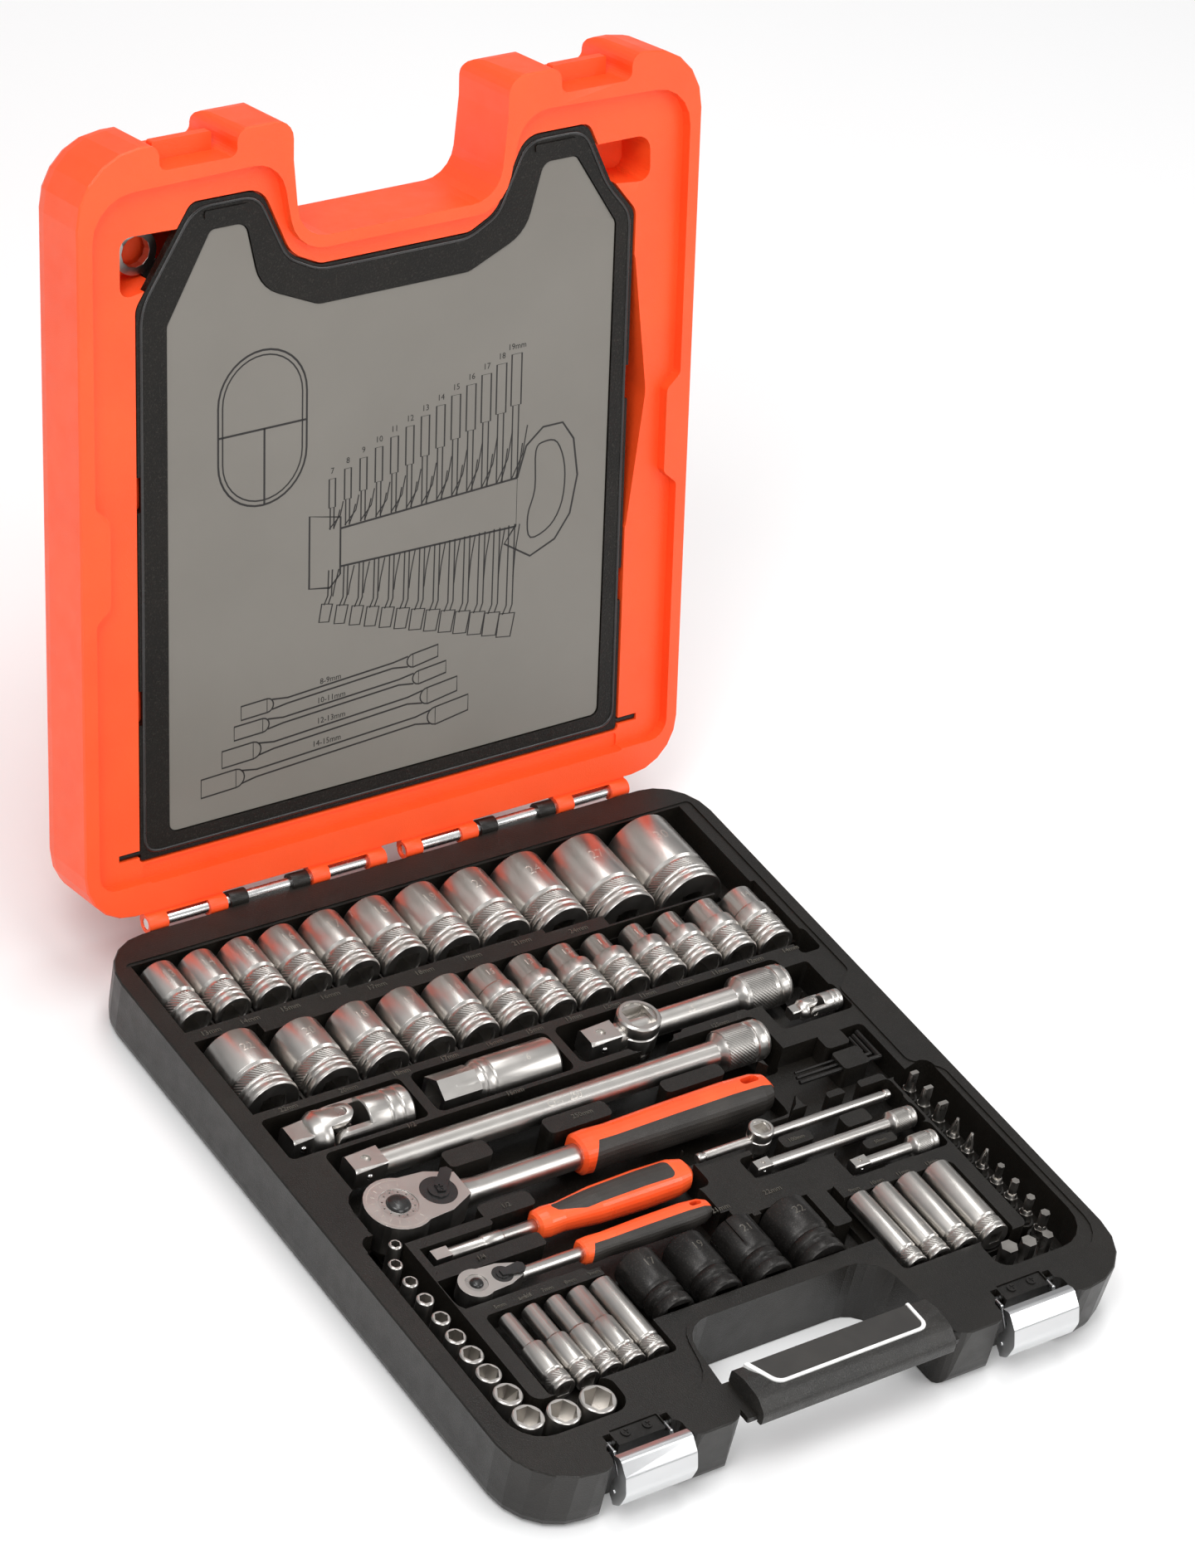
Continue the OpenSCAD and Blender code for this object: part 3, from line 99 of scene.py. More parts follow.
def material(name, c0, c1, rough, metal=0.0, tint_scale=60, grain=(1500, 0.2, 0.00015), brushed=None, coat=0.0, cells=0.0, spec=0.5, fleck=None, aniso=0.0):
    """c0/c1: colour extremes; rough: range; grain: scale per metre, strength, depth; brushed: stretch per axis."""
    m = bpy.data.materials.new(name)
    m.use_nodes = True
    n, l = m.node_tree.nodes, m.node_tree.links
    b = n["Principled BSDF"]
    b.inputs["Metallic"].default_value = metal
    b.inputs["Coat Weight"].default_value = coat
    b.inputs["Coat Roughness"].default_value = 0.12
    b.inputs["Specular IOR Level"].default_value = spec
    tcn = n.new("ShaderNodeTexCoord")
    co = tcn.outputs["Object"]
    no = n.new("ShaderNodeTexNoise")
    no.inputs["Scale"].default_value = tint_scale
    no.inputs["Detail"].default_value = 6
    l.new(co, no.inputs["Vector"])
    ramp = n.new("ShaderNodeValToRGB")
    ramp.color_ramp.elements[0].position, ramp.color_ramp.elements[0].color = 0.32, c0
    ramp.color_ramp.elements[1].position, ramp.color_ramp.elements[1].color = 0.68, c1
    l.new(no.outputs["Fac"], ramp.inputs[0])
    col = ramp.outputs[0]
    if fleck:
        fn = n.new("ShaderNodeTexNoise")
        fn.inputs["Scale"].default_value = fleck[0]
        fn.inputs["Detail"].default_value = 2
        l.new(co, fn.inputs["Vector"])
        fr = n.new("ShaderNodeValToRGB")
        fr.color_ramp.elements[0].position, fr.color_ramp.elements[0].color = 0.56, (0, 0, 0, 1)
        fr.color_ramp.elements[1].position, fr.color_ramp.elements[1].color = 0.72, (fleck[1],) * 3 + (1,)
        l.new(fn.outputs["Fac"], fr.inputs[0])
        mx = n.new("ShaderNodeMix")
        mx.data_type = "RGBA"
        l.new(fr.outputs[0], mx.inputs[0])
        l.new(col, mx.inputs[6])
        mx.inputs[7].default_value = fleck[2]
        col = mx.outputs[2]
    l.new(col, b.inputs["Base Color"])
    n2 = n.new("ShaderNodeTexNoise")
    n2.inputs["Scale"].default_value = tint_scale * 4.3
    n2.inputs["Detail"].default_value = 5
    l.new(co, n2.inputs["Vector"])
    mr = n.new("ShaderNodeMapRange")
    mr.inputs["From Min"].default_value, mr.inputs["From Max"].default_value = 0.3, 0.7
    mr.inputs["To Min"].default_value, mr.inputs["To Max"].default_value = rough
    l.new(n2.outputs["Fac"], mr.inputs["Value"])
    l.new(mr.outputs[0], b.inputs["Roughness"])
    normal = None
    if cells:
        vo = n.new("ShaderNodeTexVoronoi")
        vo.feature = "DISTANCE_TO_EDGE"
        vo.inputs["Scale"].default_value = cells
        l.new(co, vo.inputs["Vector"])
        sm = n.new("ShaderNodeMapRange")
        sm.interpolation_type = "SMOOTHSTEP"
        sm.inputs["From Min"].default_value, sm.inputs["From Max"].default_value = 0.0, 0.22
        l.new(vo.outputs["Distance"], sm.inputs["Value"])
        b1 = n.new("ShaderNodeBump")
        b1.inputs["Strength"].default_value = 0.35
        b1.inputs["Distance"].default_value = 0.00012
        l.new(sm.outputs[0], b1.inputs["Height"])
        if normal:
            l.new(normal, b1.inputs["Normal"])
        normal = b1.outputs[0]
    gn = n.new("ShaderNodeTexNoise")
    gn.inputs["Detail"].default_value = 3
    gn.inputs["Scale"].default_value = grain[0]
    if brushed:
        mp = n.new("ShaderNodeMapping")
        mp.inputs["Scale"].default_value = brushed
        l.new(co, mp.inputs["Vector"])
        l.new(mp.outputs[0], gn.inputs["Vector"])
    else:
        l.new(co, gn.inputs["Vector"])
    bp = n.new("ShaderNodeBump")
    bp.inputs["Strength"].default_value = grain[1]
    bp.inputs["Distance"].default_value = grain[2]
    l.new(gn.outputs["Fac"], bp.inputs["Height"])
    if normal:
        l.new(normal, bp.inputs["Normal"])
    l.new(bp.outputs[0], b.inputs["Normal"])
    return m


M = {}
M["tray"] = material("tray_plastic", rgb(17, 15, 12), rgb(26, 23, 19), (0.3, 0.42), tint_scale=25, grain=(2600, 0.35, 0.00012), cells=900, spec=0.4, fleck=(1500, 0.35, rgb(60, 56, 50)))
M["handle"] = material("handle_plastic", rgb(26, 25, 23), rgb(38, 36, 33), (0.34, 0.48), grain=(1500, 0.6, 0.0003), cells=700, fleck=(1500, 0.3, rgb(90, 88, 84)))
M["badge"] = material("badge_plastic", rgb(44, 42, 40), rgb(52, 50, 47), (0.3, 0.42), grain=(2600, 0.2, 0.00008), coat=0.15)
# near-white, non-metallic colour for the badge trim
M["trim"] = material("trim_silver", rgb(226, 226, 224), rgb(240, 240, 238), (0.22, 0.34), grain=(2000, 0.1, 0.00005), coat=0.3)
M["orange"] = material("lid_orange", rgb(252, 80, 28), rgb(254, 86, 32), (0.38, 0.48), tint_scale=22, grain=(2300, 0.25, 0.00012), cells=1100)
M["door"] = material("door_black", rgb(12, 10, 7), rgb(20, 17, 13), (0.36, 0.5), tint_scale=30, grain=(1200, 0.6, 0.0003), cells=600, spec=0.25, fleck=(1100, 0.35, rgb(70, 66, 60)))
M["label"] = material("label_sheet", rgb(112, 108, 101), rgb(117, 113, 106), (0.38, 0.46), tint_scale=14, grain=(3200, 0.12, 0.00004), coat=0.2)
M["ink"] = material("label_ink", rgb(20, 17, 16), rgb(28, 24, 23), (0.45, 0.6), grain=(2600, 0.1, 0.00003))
for a, sc in (("x", (3.0, 0.12, 0.12)), ("y", (0.12, 3.0, 0.12)), ("z", (0.12, 0.12, 3.0))):
    M["chrome_" + a] = material("satin_chrome_" + a, (0.52, 0.498, 0.47, 1), (0.58, 0.557, 0.528, 1), (0.28, 0.35), metal=1.0, tint_scale=35, grain=(1500, 0.04, 0.000008), brushed=sc)
M["knurl"] = material("satin_knurl", (0.3, 0.287, 0.27, 1), (0.4, 0.383, 0.36, 1), (0.36, 0.46), metal=1.0, tint_scale=60, grain=(1500, 0.04, 0.000008))
M["chrome_dark"] = material("drive_steel", (0.42, 0.4, 0.38, 1), (0.56, 0.54, 0.51, 1), (0.24, 0.36), metal=1.0, grain=(2000, 0.2, 0.00005))
M["latch"] = material("latch_zinc", (0.64, 0.645, 0.65, 1), (0.7, 0.705, 0.71, 1), (0.28, 0.36), metal=1.0, tint_scale=18, grain=(1500, 0.03, 0.00001), brushed=(3.0, 0.15, 0.15))
M["pin"] = material("pin_steel", (0.62, 0.62, 0.61, 1), (0.76, 0.76, 0.75, 1), (0.2, 0.3), metal=1.0, grain=(1600, 0.05, 0.00001), brushed=(0.6, 0.3, 0.3))
M["black_steel"] = material("black_steel", rgb(24, 23, 22), rgb(44, 42, 40), (0.32, 0.46), metal=0.55, grain=(2600, 0.25, 0.00007), fleck=(2200, 0.3, rgb(96, 94, 92)))
M["impact"] = material("impact_black", rgb(26, 24, 23), rgb(42, 40, 38), (0.3, 0.44), metal=0.5, grain=(3000, 0.28, 0.00007), fleck=(1500, 0.22, rgb(110, 106, 100)))
M["grip_orange"] = material("grip_orange", rgb(250, 84, 36), rgb(254, 98, 46), (0.26, 0.38), tint_scale=40, grain=(2600, 0.15, 0.00006), coat=0.2)
M["grip_black"] = material("grip_black", rgb(40, 37, 34), rgb(54, 50, 46), (0.4, 0.54), tint_scale=40, grain=(2400, 0.4, 0.00012), cells=1400)
M["black_plastic"] = material("black_plastic", rgb(18, 17, 17), rgb(32, 31, 30), (0.24, 0.36), grain=(2400, 0.2, 0.00006), coat=0.2)
M["rubber"] = material("black_rubber", rgb(18, 17, 17), rgb(32, 31, 30), (0.62, 0.8), grain=(2400, 0.4, 0.0001))
M["bit"] = material("bit_steel", (0.3, 0.28, 0.26, 1), (0.46, 0.44, 0.41, 1), (0.26, 0.4), metal=1.0, grain=(1800, 0.2, 0.00005))
M["engrave"] = material("engraved_shadow", rgb(196, 190, 182), rgb(214, 208, 200), (0.3, 0.42), metal=0.9, grain=(2600, 0.2, 0.00004))
M["emboss"] = material("tray_emboss", rgb(72, 68, 62), rgb(88, 84, 77), (0.16, 0.26), grain=(2600, 0.2, 0.00008))
M["ball"] = material("ball_steel", (0.66, 0.65, 0.63, 1), (0.78, 0.77, 0.76, 1), (0.08, 0.16), metal=1.0, grain=(2600, 0.08, 0.00002))

LOOK = dict(base_case="tray", handle_grip="handle", handle_badge="badge", handle_badge_trim="trim", lid_case="orange", spanner_door="door", door_label="label",
    hinge_pin_left="pin", hinge_pin_right="pin", latch_plates="black_steel", latch_screws="black_steel", latch_link_left="latch", latch_link_right="latch",
    latch_lever_left="latch", latch_lever_right="latch", combination_spanners="chrome_x", half_ratchet_body="chrome_x", half_ratchet_grip_orange="grip_orange",
    half_ratchet_grip_black="grip_black", half_ratchet_selector="black_plastic", half_ratchet_button="black_plastic", half_ratchet_drive="chrome_dark",
    quarter_ratchet_body="chrome_x", quarter_ratchet_grip_orange="grip_orange", quarter_ratchet_grip_black="grip_black", quarter_ratchet_selector="black_plastic",
    quarter_ratchet_button="black_plastic", quarter_ratchet_drive="chrome_dark", spinner_shaft="chrome_x", spinner_grip_orange="grip_orange", spinner_grip_black="grip_black",
    half_extension_short="chrome_x", half_sliding_tee="chrome_z", half_extension_long="chrome_x", half_joint_socket_yoke="chrome_x", half_joint_cross="chrome_dark",
    half_joint_drive_yoke="chrome_x", quarter_joint_socket_yoke="chrome_x", quarter_joint_cross="chrome_dark", quarter_joint_drive_yoke="chrome_x",
    spark_plug_socket="chrome_x", spark_plug_insert="rubber", quarter_tee_bar="chrome_x", quarter_tee_head="chrome_z", quarter_extension_100="chrome_x",
    quarter_extension_50="chrome_x", half_sockets_back_row="chrome_y", half_sockets_front_row="chrome_y", impact_sockets="impact", deep_sockets_left="chrome_y",
    deep_sockets_right="chrome_y", quarter_sockets_upright="chrome_z", screwdriver_bits="bit", hex_keys="black_steel")
BEVEL = dict(base_case=0.5, lid_case=0.6, spanner_door=0.5, handle_grip=0.5, half_ratchet_body=0.5, half_extension_short=0.3, half_extension_long=0.3, half_sliding_tee=0.3,
    spark_plug_socket=0.3, impact_sockets=0.35, half_ratchet_drive=0.3, half_joint_socket_yoke=0.3, half_joint_drive_yoke=0.3, half_joint_cross=0.3,
    half_sockets_back_row=0.25, half_sockets_front_row=0.2)
for name, o in NODES.items():
    o.data.materials.clear()
    o.data.materials.append(M[LOOK[name]])
    w = o.modifiers.new("weld", "WELD")
    w.merge_threshold = 0.000004
    bv = o.modifiers.new("bevel", "BEVEL")
    bv.width = BEVEL.get(name, 0.15) / 1000
    bv.segments = 2
    bv.limit_method = "ANGLE"
    bv.angle_limit = math.radians(34)
    bv.use_clamp_overlap = True
    bv.harden_normals = True


# ---------------------------------------------------------------- small real detail, gathered per body
class Batch:
    def __init__(self, name, mat, body, slot, smooth=False):
        self.n, self.m, self.b, self.s, self.sm, self.v, self.f = name, mat, body, slot, smooth, [], []

    def add(self, verts, faces):
        k = len(self.v)
        self.v += [tuple(c / 1000 for c in q) for q in verts]
        self.f += [[k + i for i in q] for q in faces]

    def make(self):
        me = bpy.data.meshes.new(self.n)
        me.from_pydata(self.v, [], self.f)
        me.validate()
        me.materials.append(M[self.m])
        if self.sm:
            for p in me.polygons:
                p.use_smooth = True
        o = bpy.data.objects.new(self.n, me)
        S.collection.objects.link(o)
        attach(o, self.b)
        return o


def grid_ring(batch, place, rows, n, amp):
    """Closed ring: rows are (axial, radius, knurled); place maps (angle, radius, axial) to a point."""
    v, f = [], []
    for j, (zz, rr, kn) in enumerate(rows):
        for i in range(n):
            v.append(place(2 * math.pi * i / n, rr + (amp if kn and (i + j) % 2 == 0 else 0), zz))
    m = len(rows)
    for j in range(m):
        for i in range(n):
            a, b = j * n + i, j * n + (i + 1) % n
            c, e = ((j + 1) % m) * n + (i + 1) % n, ((j + 1) % m) * n + i
            f.append([a, b, c, e])
    batch.add(v, f)


def along_y(x, z):
    return lambda a, r, t: (x + r * math.cos(a), t, z + r * math.sin(a))


def along_x(y, z):
    return lambda a, r, t: (t, y + r * math.cos(a), z + r * math.sin(a))


def along_z(x, y):
    return lambda a, r, t: (x + r * math.cos(a), y + r * math.sin(a), t)


def knurl(batch, place, r, t0, t1, amp, pitch):
    n = max(24, int(2 * math.pi * r / pitch / 2) * 2)
    m = max(3, int((t1 - t0) / pitch))
    rows = [(t0, r - 0.4, False)] + [(t0 + (t1 - t0) * (k + 0.5) / m, r, True) for k in range(m)] + [(t1, r - 0.4, False)]
    grid_ring(batch, place, rows, n, amp)


FONT = {}


def glyphs(body, size, extrude):
    key = (body, size, extrude)
    if key not in FONT:
        c = bpy.data.curves.new("t", "FONT")
        c.body, c.size, c.extrude, c.resolution_u = body, size, extrude, 2
        c.align_x, c.align_y = "CENTER", "CENTER"
        o = bpy.data.objects.new("t", c)
        S.collection.objects.link(o)
        bpy.context.view_layer.update()
        me = bpy.data.meshes.new_from_object(o.evaluated_get(bpy.context.evaluated_depsgraph_get()))
        FONT[key] = ([tuple(v.co) for v in me.vertices], [list(p.vertices) for p in me.polygons])
        bpy.data.objects.remove(o)
        bpy.data.curves.remove(c)
        bpy.data.meshes.remove(me)
    return FONT[key]


def write(batch, body, size, place, extrude=0.06):
    v, f = glyphs(body, size, extrude)
    batch.add([place(*q) for q in v], f)


def strokes(batch, pts, width, place, t=0.05, closed=False):
    """A flat inked or raised line along pts, as a closed thin ribbon."""
    n = len(pts)
    if n < 2:
        return
    left, rght = [], []
    for i, p in enumerate(pts):
        a = pts[(i - 1) % n] if closed or i > 0 else p
        b = pts[(i + 1) % n] if closed or i < n - 1 else p
        dx, dy = b[0] - a[0], b[1] - a[1]
        q = math.hypot(dx, dy) or 1
        nx, ny = -dy / q * width / 2, dx / q * width / 2
        left.append((p[0] + nx, p[1] + ny))
        rght.append((p[0] - nx, p[1] - ny))
    v = []
    for a, b in zip(left, rght):
        v += [place(a[0], a[1], t), place(b[0], b[1], t), place(b[0], b[1], -t), place(a[0], a[1], -t)]
    f = []
    for i in range(n if closed else n - 1):
        a, b = 4 * i, 4 * ((i + 1) % n)
        for k in range(4):
            f.append([a + k, a + (k + 1) % 4, b + (k + 1) % 4, b + k])
    if not closed:
        f += [[0, 3, 2, 1], [4 * n - 4, 4 * n - 3, 4 * n - 2, 4 * n - 1]]
    batch.add(v, f)


def ball(batch, c, r):
    v, f = [(c[0], c[1], c[2] + r)], []
    nu, nv = 16, 8
    for j in range(1, nv):
        for i in range(nu):
            a, b = 2 * math.pi * i / nu, math.pi * j / nv
            v.append((c[0] + r * math.sin(b) * math.cos(a), c[1] + r * math.sin(b) * math.sin(a), c[2] + r * math.cos(b)))
    v.append((c[0], c[1], c[2] - r))
    for i in range(nu):
        f.append([0, 1 + i, 1 + (i + 1) % nu])
        for j in range(nv - 2):
            a, b = 1 + j * nu + i, 1 + j * nu + (i + 1) % nu
            f.append([a, a + nu, b + nu, b])
        f.append([len(v) - 1, 1 + (nv - 2) * nu + (i + 1) % nu, 1 + (nv - 2) * nu + i])
    batch.add(v, f)


ROW1 = [(-155, 10.3, 13), (-133, 10.6, 14), (-110, 11, 15), (-87, 11.6, 16), (-61.5, 12.8, 17), (-33.5, 13.6, 18), (-5, 14.2, 19), (25, 15, 21), (57.5, 16.5, 24), (95, 18.6, 27), (136, 20, 30)]
ROW2 = [(-148.4, 16, 22), (-114.5, 14.5, 20), (-84.3, 13.2, 18), (-56.4, 12.5, 17), (-29.8, 12, 16), (-6, 11.3, 15), (17.5, 11, 13), (40.5, 11, 12), (62.5, 11, 11), (85.5, 11, 10), (107.5, 11, 11), (129.5, 11, 12), (152, 11, 14)]
NOSE2 = [16, 14.5, 13.2, 12.5, 12, 10.6, 9.4, 8.6, 7.8, 7, 7.8, 9.4, 10.2]
IMPACT = [(-50, 11, 17), (-22, 11.5, 19), (7, 12, 21), (38, 13.6, 22)]
DEEPL = [(-127.6, 5), (-114, 6), (-101, 7), (-88, 8), (-74.5, 9)]
DEEPR = [(76, 6, 9), (90, 6.5, 10), (106, 7.2, 11), (124, 8, 13)]


def zrow(r):
    return min(29, 41.6 - r)


def y0_1(r):
    return 169 - (38 if r < 11.8 else 40 if r < 14 else 43 if r < 15.5 else 46 if r < 17 else 50)


def on_cylinder_y(x, z, r, yc, s=1):
    """Text wrapped on the top of a cylinder lying along y; its up direction is +y."""
    return lambda u, v, h: (x + (r + h) * math.sin(u / r), yc + v, z + (r + h) * math.cos(u / r))


def on_cylinder_x(y, z, r, xc, lean=0.0):
    """Text along a bar lying on x, wrapped over its top."""
    return lambda u, v, h: (xc + u, y + (r + h) * math.sin(v / r + lean), z + (r + h) * math.cos(v / r + lean))


def flat(x, y, z, turn=0):
    c, s_ = math.cos(math.radians(turn)), math.sin(math.radians(turn))
    return lambda u, v, h: (x + u * c - v * s_, y + u * s_ + v * c, z + h)


kn = Batch("socket_knurling", "knurl", "case", "satin_chrome")
en = Batch("socket_size_marks", "engrave", "case", "satin_chrome")
em = Batch("tray_size_marks", "emboss", "case", "tray_plastic")
imk = Batch("impact_size_marks", "emboss", "case", "impact_black")
TZ = 35.2
for i, (x, r, sz) in enumerate(ROW1):
    y0 = y0_1(r)
    knurl(kn, along_y(x, zrow(r)), r - 0.5, y0 + 8.2, y0 + 14.2, 0.26, 0.9)
    write(en, str(sz), 8.4 if r > 12 else 7.4, on_cylinder_y(x, zrow(r), r, y0 + (169 - y0) * 0.5 + 8.2))
    if i < 9:
        write(em, f"{sz}mm", 4.4, flat(x, 118.4 if i < 4 else 115.6 if i < 8 else 112.4, TZ, 0), 0.34)
for i, (x, r, sz) in enumerate(ROW2):
    y0 = 70 if i == 0 else 68
    knurl(kn, along_y(x, zrow(r)), r - 0.5, y0 + 8.2, y0 + 14.2, 0.26, 0.9)
    write(en, str(sz), 7.0 if i < 5 else 5.4, on_cylinder_y(x, zrow(r), r if i < 5 else NOSE2[i], y0 + (27.5 if i < 5 else 31)))
    write(em, f"{sz}mm", 4.0, flat(x, 58.4, TZ, 0), 0.34)
for x, r, sz in IMPACT:
    write(imk, str(sz), 6.4, on_cylinder_y(x, 41 - r, r, -127 + 26))
    write(em, f"{sz}mm", 4.2, flat(x, -81.4, TZ), 0.34)
for x, sz in DEEPL:
    knurl(kn, along_y(x, 32), 6.1, -146.5 + 3.5, -146.5 + 7.8, 0.16, 0.8)
    write(en, str(sz), 3.4, on_cylinder_y(x, 32, 6.3, -146.5 + 18))
    write(em, f"{sz}mm", 3.2, flat(x, -92.3, TZ), 0.34)
for x, r, sz in DEEPR:
    knurl(kn, along_y(x, 32), r - 0.2, -149.3 + 3.5, -149.3 + 7.8, 0.16, 0.8)
    write(en, str(sz), 3.4, on_cylinder_y(x, 32, r, -149.3 + 18))
    write(em, f"{sz}mm", 3.2, flat(x, -97, TZ), 0.34)
for t, x, y, sz in (("1/2", -100, 59 - 33.6, 4), ("16mm", -40, 59 - 33.6, 4), ("125mm", 84, 26, 3.6), ("250mm", -18, -0.6, 4), ("1/2", -88, -38.4, 4), ("1/4", -118, -62.4, 3.6), ("1/4", -112, -92, 3.4), ("100mm", 71, -56.4, 3.2), ("50mm", 109.5, -74.2, 2.8)):
    write(em, t, sz, flat(x, y, TZ if sz > 3.3 else TZ, 0), 0.34)
for b in (kn, en, em, imk):
    b.make()

# bars and extensions: knurled collars, marks, detent balls
def bar(name, body, x0, y, z, L, rc, k, mark, r):
    a = Batch(name + "_knurling", "knurl", body, "satin_chrome")
    knurl(a, along_x(y, z), rc, x0 + L - (26 if k == 1 else 12.4), x0 + L - (10 if k == 1 else 5), 0.14 * (1 if k == 1 else 0.6), 0.9 if k == 1 else 0.6)
    a.make()
    b = Batch(name + "_mark", "engrave", body, "satin_chrome")
    write(b, mark, 5.0 if k == 1 else 2.8, on_cylinder_x(y, z, r, x0 + L * 0.5, -0.45))
    b.make()
    c = Batch(name + "_detent_ball", "ball", body, "satin_chrome", True)
    q = 12.7 / 2 if k == 1 else 6.35 / 2
    ball(c, (x0 + 8.5 * k, y - q + 0.7 * k, z), 1.9 * k)
    c.make()


bar("long_extension", "half_extension_long", -143, 13, 31, 243.5, 10.5, 1, "Cr-V  250", 6.5)
bar("short_extension", "half_extension_short", 13.5, 42.6, 31, 122.5, 10.5, 1, "125", 6.5)
bar("small_extension_100", "quarter_extension_100", 40, -64.4, 33, 97, 5.6, 0.5, "100", 3)
bar("small_extension_50", "quarter_extension_50", 86, -82.4, 33, 51, 5.6, 0.5, "50", 3)
b = Batch("spark_plug_socket_mark", "engrave", "spark_plug_socket", "satin_chrome")
write(b, "16", 5.2, on_cylinder_x(42.2, 30, 11.5, -75.5 + 50, -0.3))
b.make()
b = Batch("joint_detent_ball", "ball", "half_joint_drive", "satin_chrome", True)
ball(b, (-130.5 - 22.5, 42.2 - 5.7, 30), 1.9)
b.make()

# half ratchet head: a ring of small direction ticks and a thin arc round the selector
b = Batch("half_ratchet_marks", "engrave", "half_ratchet", "satin_chrome")
for a in range(0, 360, 20):
    if abs((a + 180) % 360 - 180) > 50:
        ca, sa = math.cos(math.radians(a)), math.sin(math.radians(a))
        strokes(b, [(-136.5 + 11.4 * ca, -19.2 + 11.4 * sa), (-136.5 + 13.4 * ca, -19.2 + 13.4 * sa)], 0.5, lambda u, v, h: (u, v, 38 + h))
strokes(b, [(-136.5 + 15.2 * math.cos(math.radians(t)), -19.2 + 15.2 * math.sin(math.radians(t))) for t in range(60, 301, 8)], 0.35, lambda u, v, h: (u, v, 38 + h))
b.make()

# ---------------------------------------------------------------- lid: line art on the label, door rim bead
A = math.radians(74)


def lid(w0):
    return lambda x, s, h: (x, 197 + s * math.cos(A) - (w0 + h) * math.sin(A), HB + s * math.sin(A) + (w0 + h) * math.cos(A))


art = Batch("label_line_art", "ink", "door", "label_sheet")
PL = lid(-7.66)
LW = 0.55


def line(*pts, w=LW, closed=False):
    strokes(art, list(pts), w * 1.9, PL, 0.03, closed)


def arc(cx, cs, r, a0, a1, n=18):
    return [(cx + r * math.cos(math.radians(a0 + (a1 - a0) * i / n)), cs + r * math.sin(math.radians(a0 + (a1 - a0) * i / n))) for i in range(n + 1)]


def closed(pts, w=LW):
    strokes(art, pts, w * 1.9, PL, 0.03, True)


closed(arc(-73, 256, 25, 0, 180) + arc(-73, 227, 25, 180, 360))
closed(arc(-73, 256, 22.5, 0, 180) + arc(-73, 227, 22.5, 180, 360), 0.4)
line((-98, 241), (-48, 241))
line((-72, 241), (-72, 202))


def smooth(p, n=4):
    out, m = [], len(p)
    for i in range(m):
        a, b_, c, e = p[i - 1], p[i], p[(i + 1) % m], p[(i + 2) % m]
        for k in range(n):
            t = k / n
            out.append(tuple(0.5 * (2 * b_[j] + (c[j] - a[j]) * t + (2 * a[j] - 5 * b_[j] + 4 * c[j] - e[j]) * t * t + (3 * b_[j] - a[j] - 3 * c[j] + e[j]) * t ** 3) for j in (0, 1)))
    return out


for (s0, s1, x0, x1, t0, hl) in ((92, 101, -85, 31, "8-9mm", 15), (82, 91, -89, 36, "10-11mm", 16.5), (69, 80, -96, 43, "12-13mm", 18), (56, 68, -108, 50, "14-15mm", 20)):
    h = (s1 - s0) * 0.82
    m0, m1 = s0 + h * 0.5, s1 - h * 0.1
    closed([(x0, m0 - h * 0.58), (x0 + hl, m0 - h * 0.5), (x0 + hl, m0 + h * 0.5), (x0, m0 + h * 0.42)], 0.45)
    closed([(x1, m1 - h * 0.3), (x1 - hl, m1 - h * 0.62), (x1 - hl, m1 + h * 0.36), (x1, m1 + h * 0.58)], 0.45)
    line(*arc(x0 + hl, m0, h * 0.5, -88, 88, 8), w=0.4)
    line(*arc(x1 - hl, m1 - h * 0.12, h * 0.48, 268, 92, 8), w=0.4)
    line((x0 + hl + 3, m0 + h * 0.36), (x0 + hl + 12, m0 + h * 0.2), (x1 - hl - 12, m1 + h * 0.08), (x1 - hl - 3, m1 + h * 0.26), w=0.45)
    line((x0 + hl + 3, m0 - h * 0.36), (x0 + hl + 12, m0 - h * 0.2), (x1 - hl - 12, m1 - h * 0.32), (x1 - hl - 3, m1 - h * 0.5), w=0.45)
    write(art, t0, 4.4, lambda u, v, hh, x=(x0 + x1) / 2 - 6, s=(m0 + m1) / 2 + h * 0.42: PL(x + u, s + v + 0.02 * u, hh), 0.03)
closed([(-46, 152), (-34, 150), (-28, 156), (-28, 186), (-46, 190)])
closed([(-28, 160), (77, 158), (77, 184), (-28, 180)])
line((77, 159), (70, 150), (86, 140), (101, 146), (110, 158), (114, 178), (111, 198), (104, 208), (92, 208), (82, 200), (77, 184))
closed(smooth([(86, 150), (98, 154), (105, 166), (106, 184), (101, 198), (93, 200), (88, 196), (88, 176), (84, 162)]), 0.42)
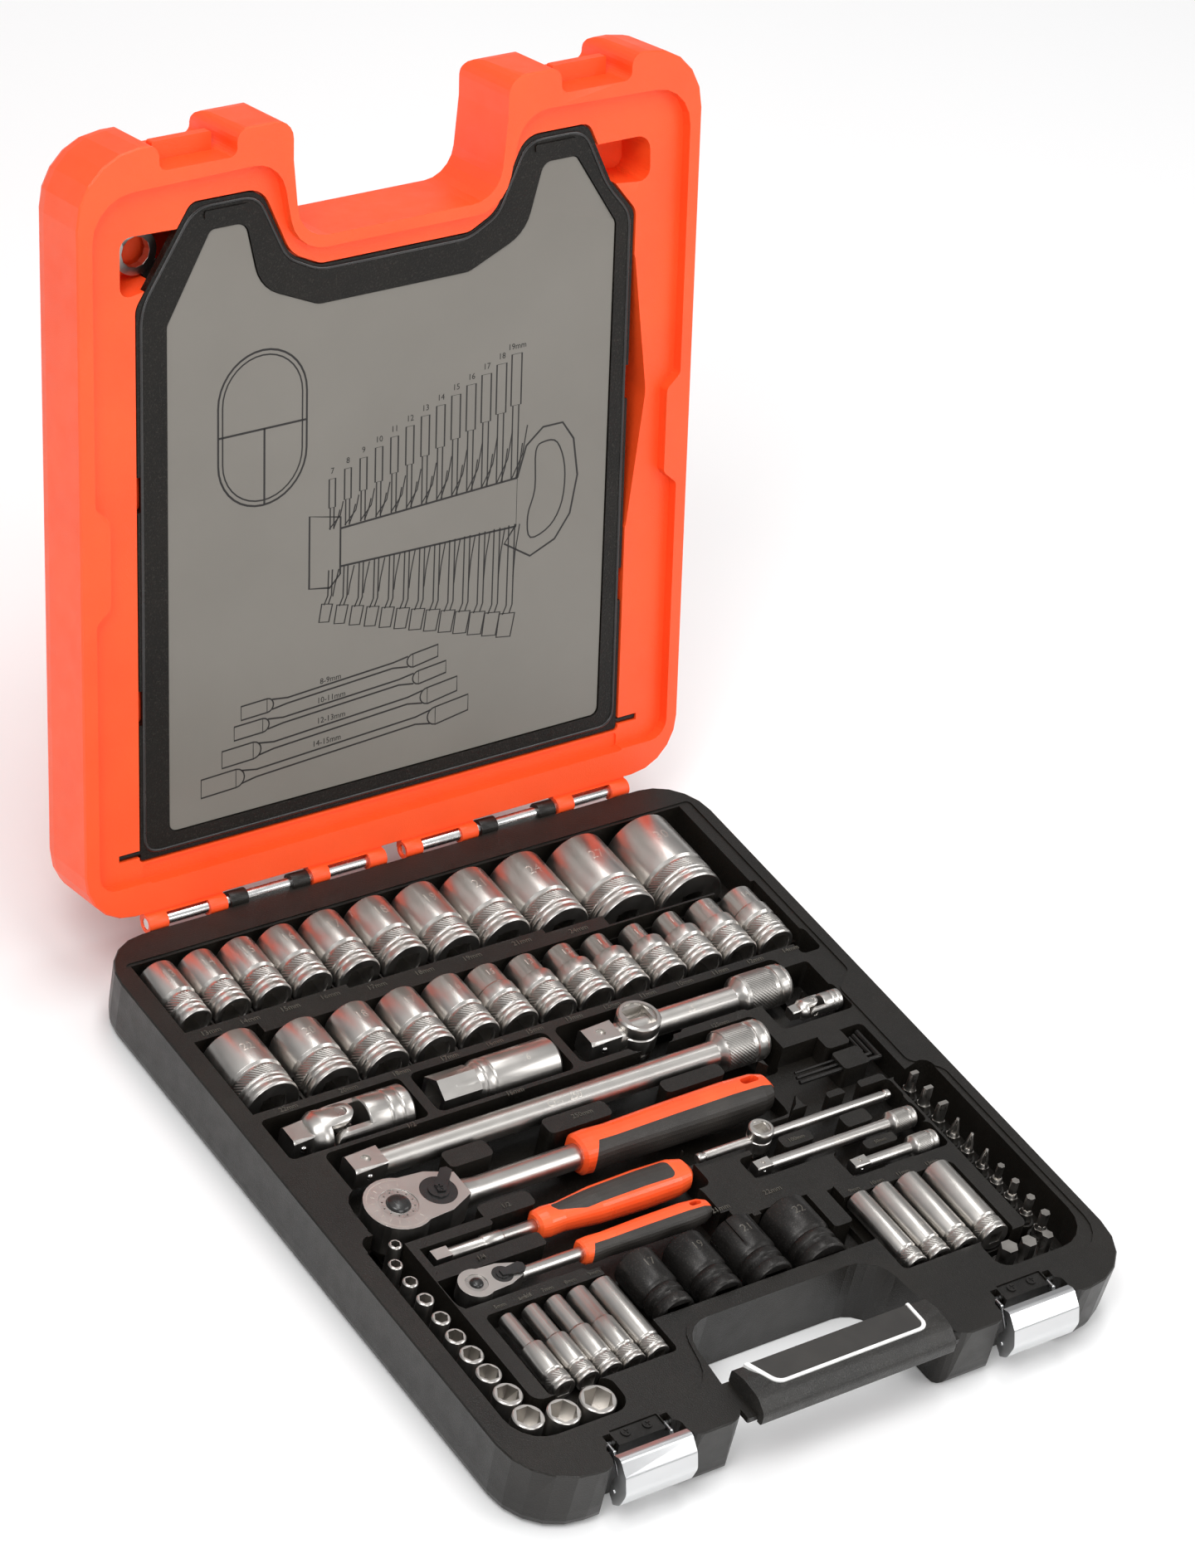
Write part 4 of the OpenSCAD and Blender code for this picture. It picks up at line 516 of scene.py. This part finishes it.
for i in range(13):
    t = i / 12
    x = -33 + 108 * t
    hi, wd, ln = 207 + 43 * t, 3.6 + 2.4 * t, 15 + 12 * t
    closed([(x - wd / 2, hi - ln), (x + wd / 2, hi - ln), (x + wd / 2, hi), (x - wd / 2, hi)], 0.42)
    for e in (-1, 1):
        line((x + e * wd * 0.3, 180.6 + 3.2 * t), (x + e * wd * 0.3, hi - ln), w=0.38)
    # handles crossing behind the bar, then cranked feet below it
    line((x + 1, 181 + 3 * t), (x + 3.4, 186 + 6 * t), (x + 4.6, 190 + 12 * t), w=0.36)
    line((x - 1.6, 181 + 3 * t), (x + 4.8, 187 + 9 * t), (x + 6.4 + t, 194 + 17 * t), w=0.34)
    line((x + 4.2, 158.8), (x + 1.8, 150 - 6 * t), (x + 0.8, 145 - 14 * t), w=0.34)
    xb = x - 2
    lo = 140 - 30 * t
    for e in (-1, 1):
        line((x - 0.6 + e * wd * 0.3, 159.4), (x - 1 + e * wd * 0.3, lo + 6), (xb - 1 + e * wd * 0.34, lo + 1.5), w=0.38)
    closed([(xb - 3 - wd * 0.6, lo - 7 - 3 * t), (xb - 1.6 + wd * 0.6, lo - 8 - 3.4 * t), (xb + wd * 0.75, lo + 1), (xb - 1.4 - wd * 0.6, lo + 2.4)], 0.42)
    write(art, str(7 + i) + ("mm" if i == 12 else ""), 4.4, lambda u, v, hh, x=x, s=hi + 4: PL(x + u, s + v, hh), 0.03)
art.make()

bead = Batch("door_rim_bead", "black_plastic", "door", "door_plastic", True)
DOOR = [(-140.6, 34), (140.6, 34), (140.6, 311), (126, 328), (111.4, 358.4), (77.4, 358.4), (61, 324.4), (44, 315.6), (-42, 315.6), (-60, 324.4), (-76.4, 358.4), (-111.4, 358.4), (-140.6, 314)]


def smooth_loop(p, r, n=5):
    out, m = [], len(p)
    for i in range(m):
        a, b_, c = Vector(p[i - 1]), Vector(p[i]), Vector(p[(i + 1) % m])
        u, w_ = (a - b_).normalized(), (c - b_).normalized()
        t = min(r, 0.3 * (a - b_).length, 0.3 * (c - b_).length)
        for k in range(n + 1):
            q = k / n
            out.append(tuple((1 - q) ** 2 * (b_ + u * t) + 2 * q * (1 - q) * b_ + q * q * (b_ + w_ * t)))
    return out


def tube_loop(batch, pts, rad, place, n=8, flat_=0.6):
    m, v, f = len(pts), [], []
    for i, p in enumerate(pts):
        a, b_ = pts[i - 1], pts[(i + 1) % m]
        dx, dy = b_[0] - a[0], b_[1] - a[1]
        q = math.hypot(dx, dy) or 1
        for k in range(n):
            t = 2 * math.pi * k / n
            v.append(place(p[0] - dy / q * rad * math.cos(t), p[1] + dx / q * rad * math.cos(t), rad * flat_ * math.sin(t)))
    for i in range(m):
        for k in range(n):
            f.append([i * n + k, i * n + (k + 1) % n, ((i + 1) % m) * n + (k + 1) % n, ((i + 1) % m) * n + k])
    batch.add(v, f)


tube_loop(bead, smooth_loop(DOOR, 9), 0.9, lid(-7.0))
bead.make()

# ---------------------------------------------------------------- floor and finish
me = bpy.data.meshes.new("floor")
me.from_pydata([(-8, -8, -0.0005), (8, -8, -0.0005), (8, 8, -0.0005), (-8, 8, -0.0005)], [], [[0, 1, 2, 3]])
fl = bpy.data.objects.new("floor", me)
S.collection.objects.link(fl)
fm = bpy.data.materials.new("floor")
fm.use_nodes = True
fm.node_tree.nodes["Principled BSDF"].inputs["Base Color"].default_value = (0.93, 0.93, 0.93, 1)
fm.node_tree.nodes["Principled BSDF"].inputs["Roughness"].default_value = 0.7
me.materials.append(fm)
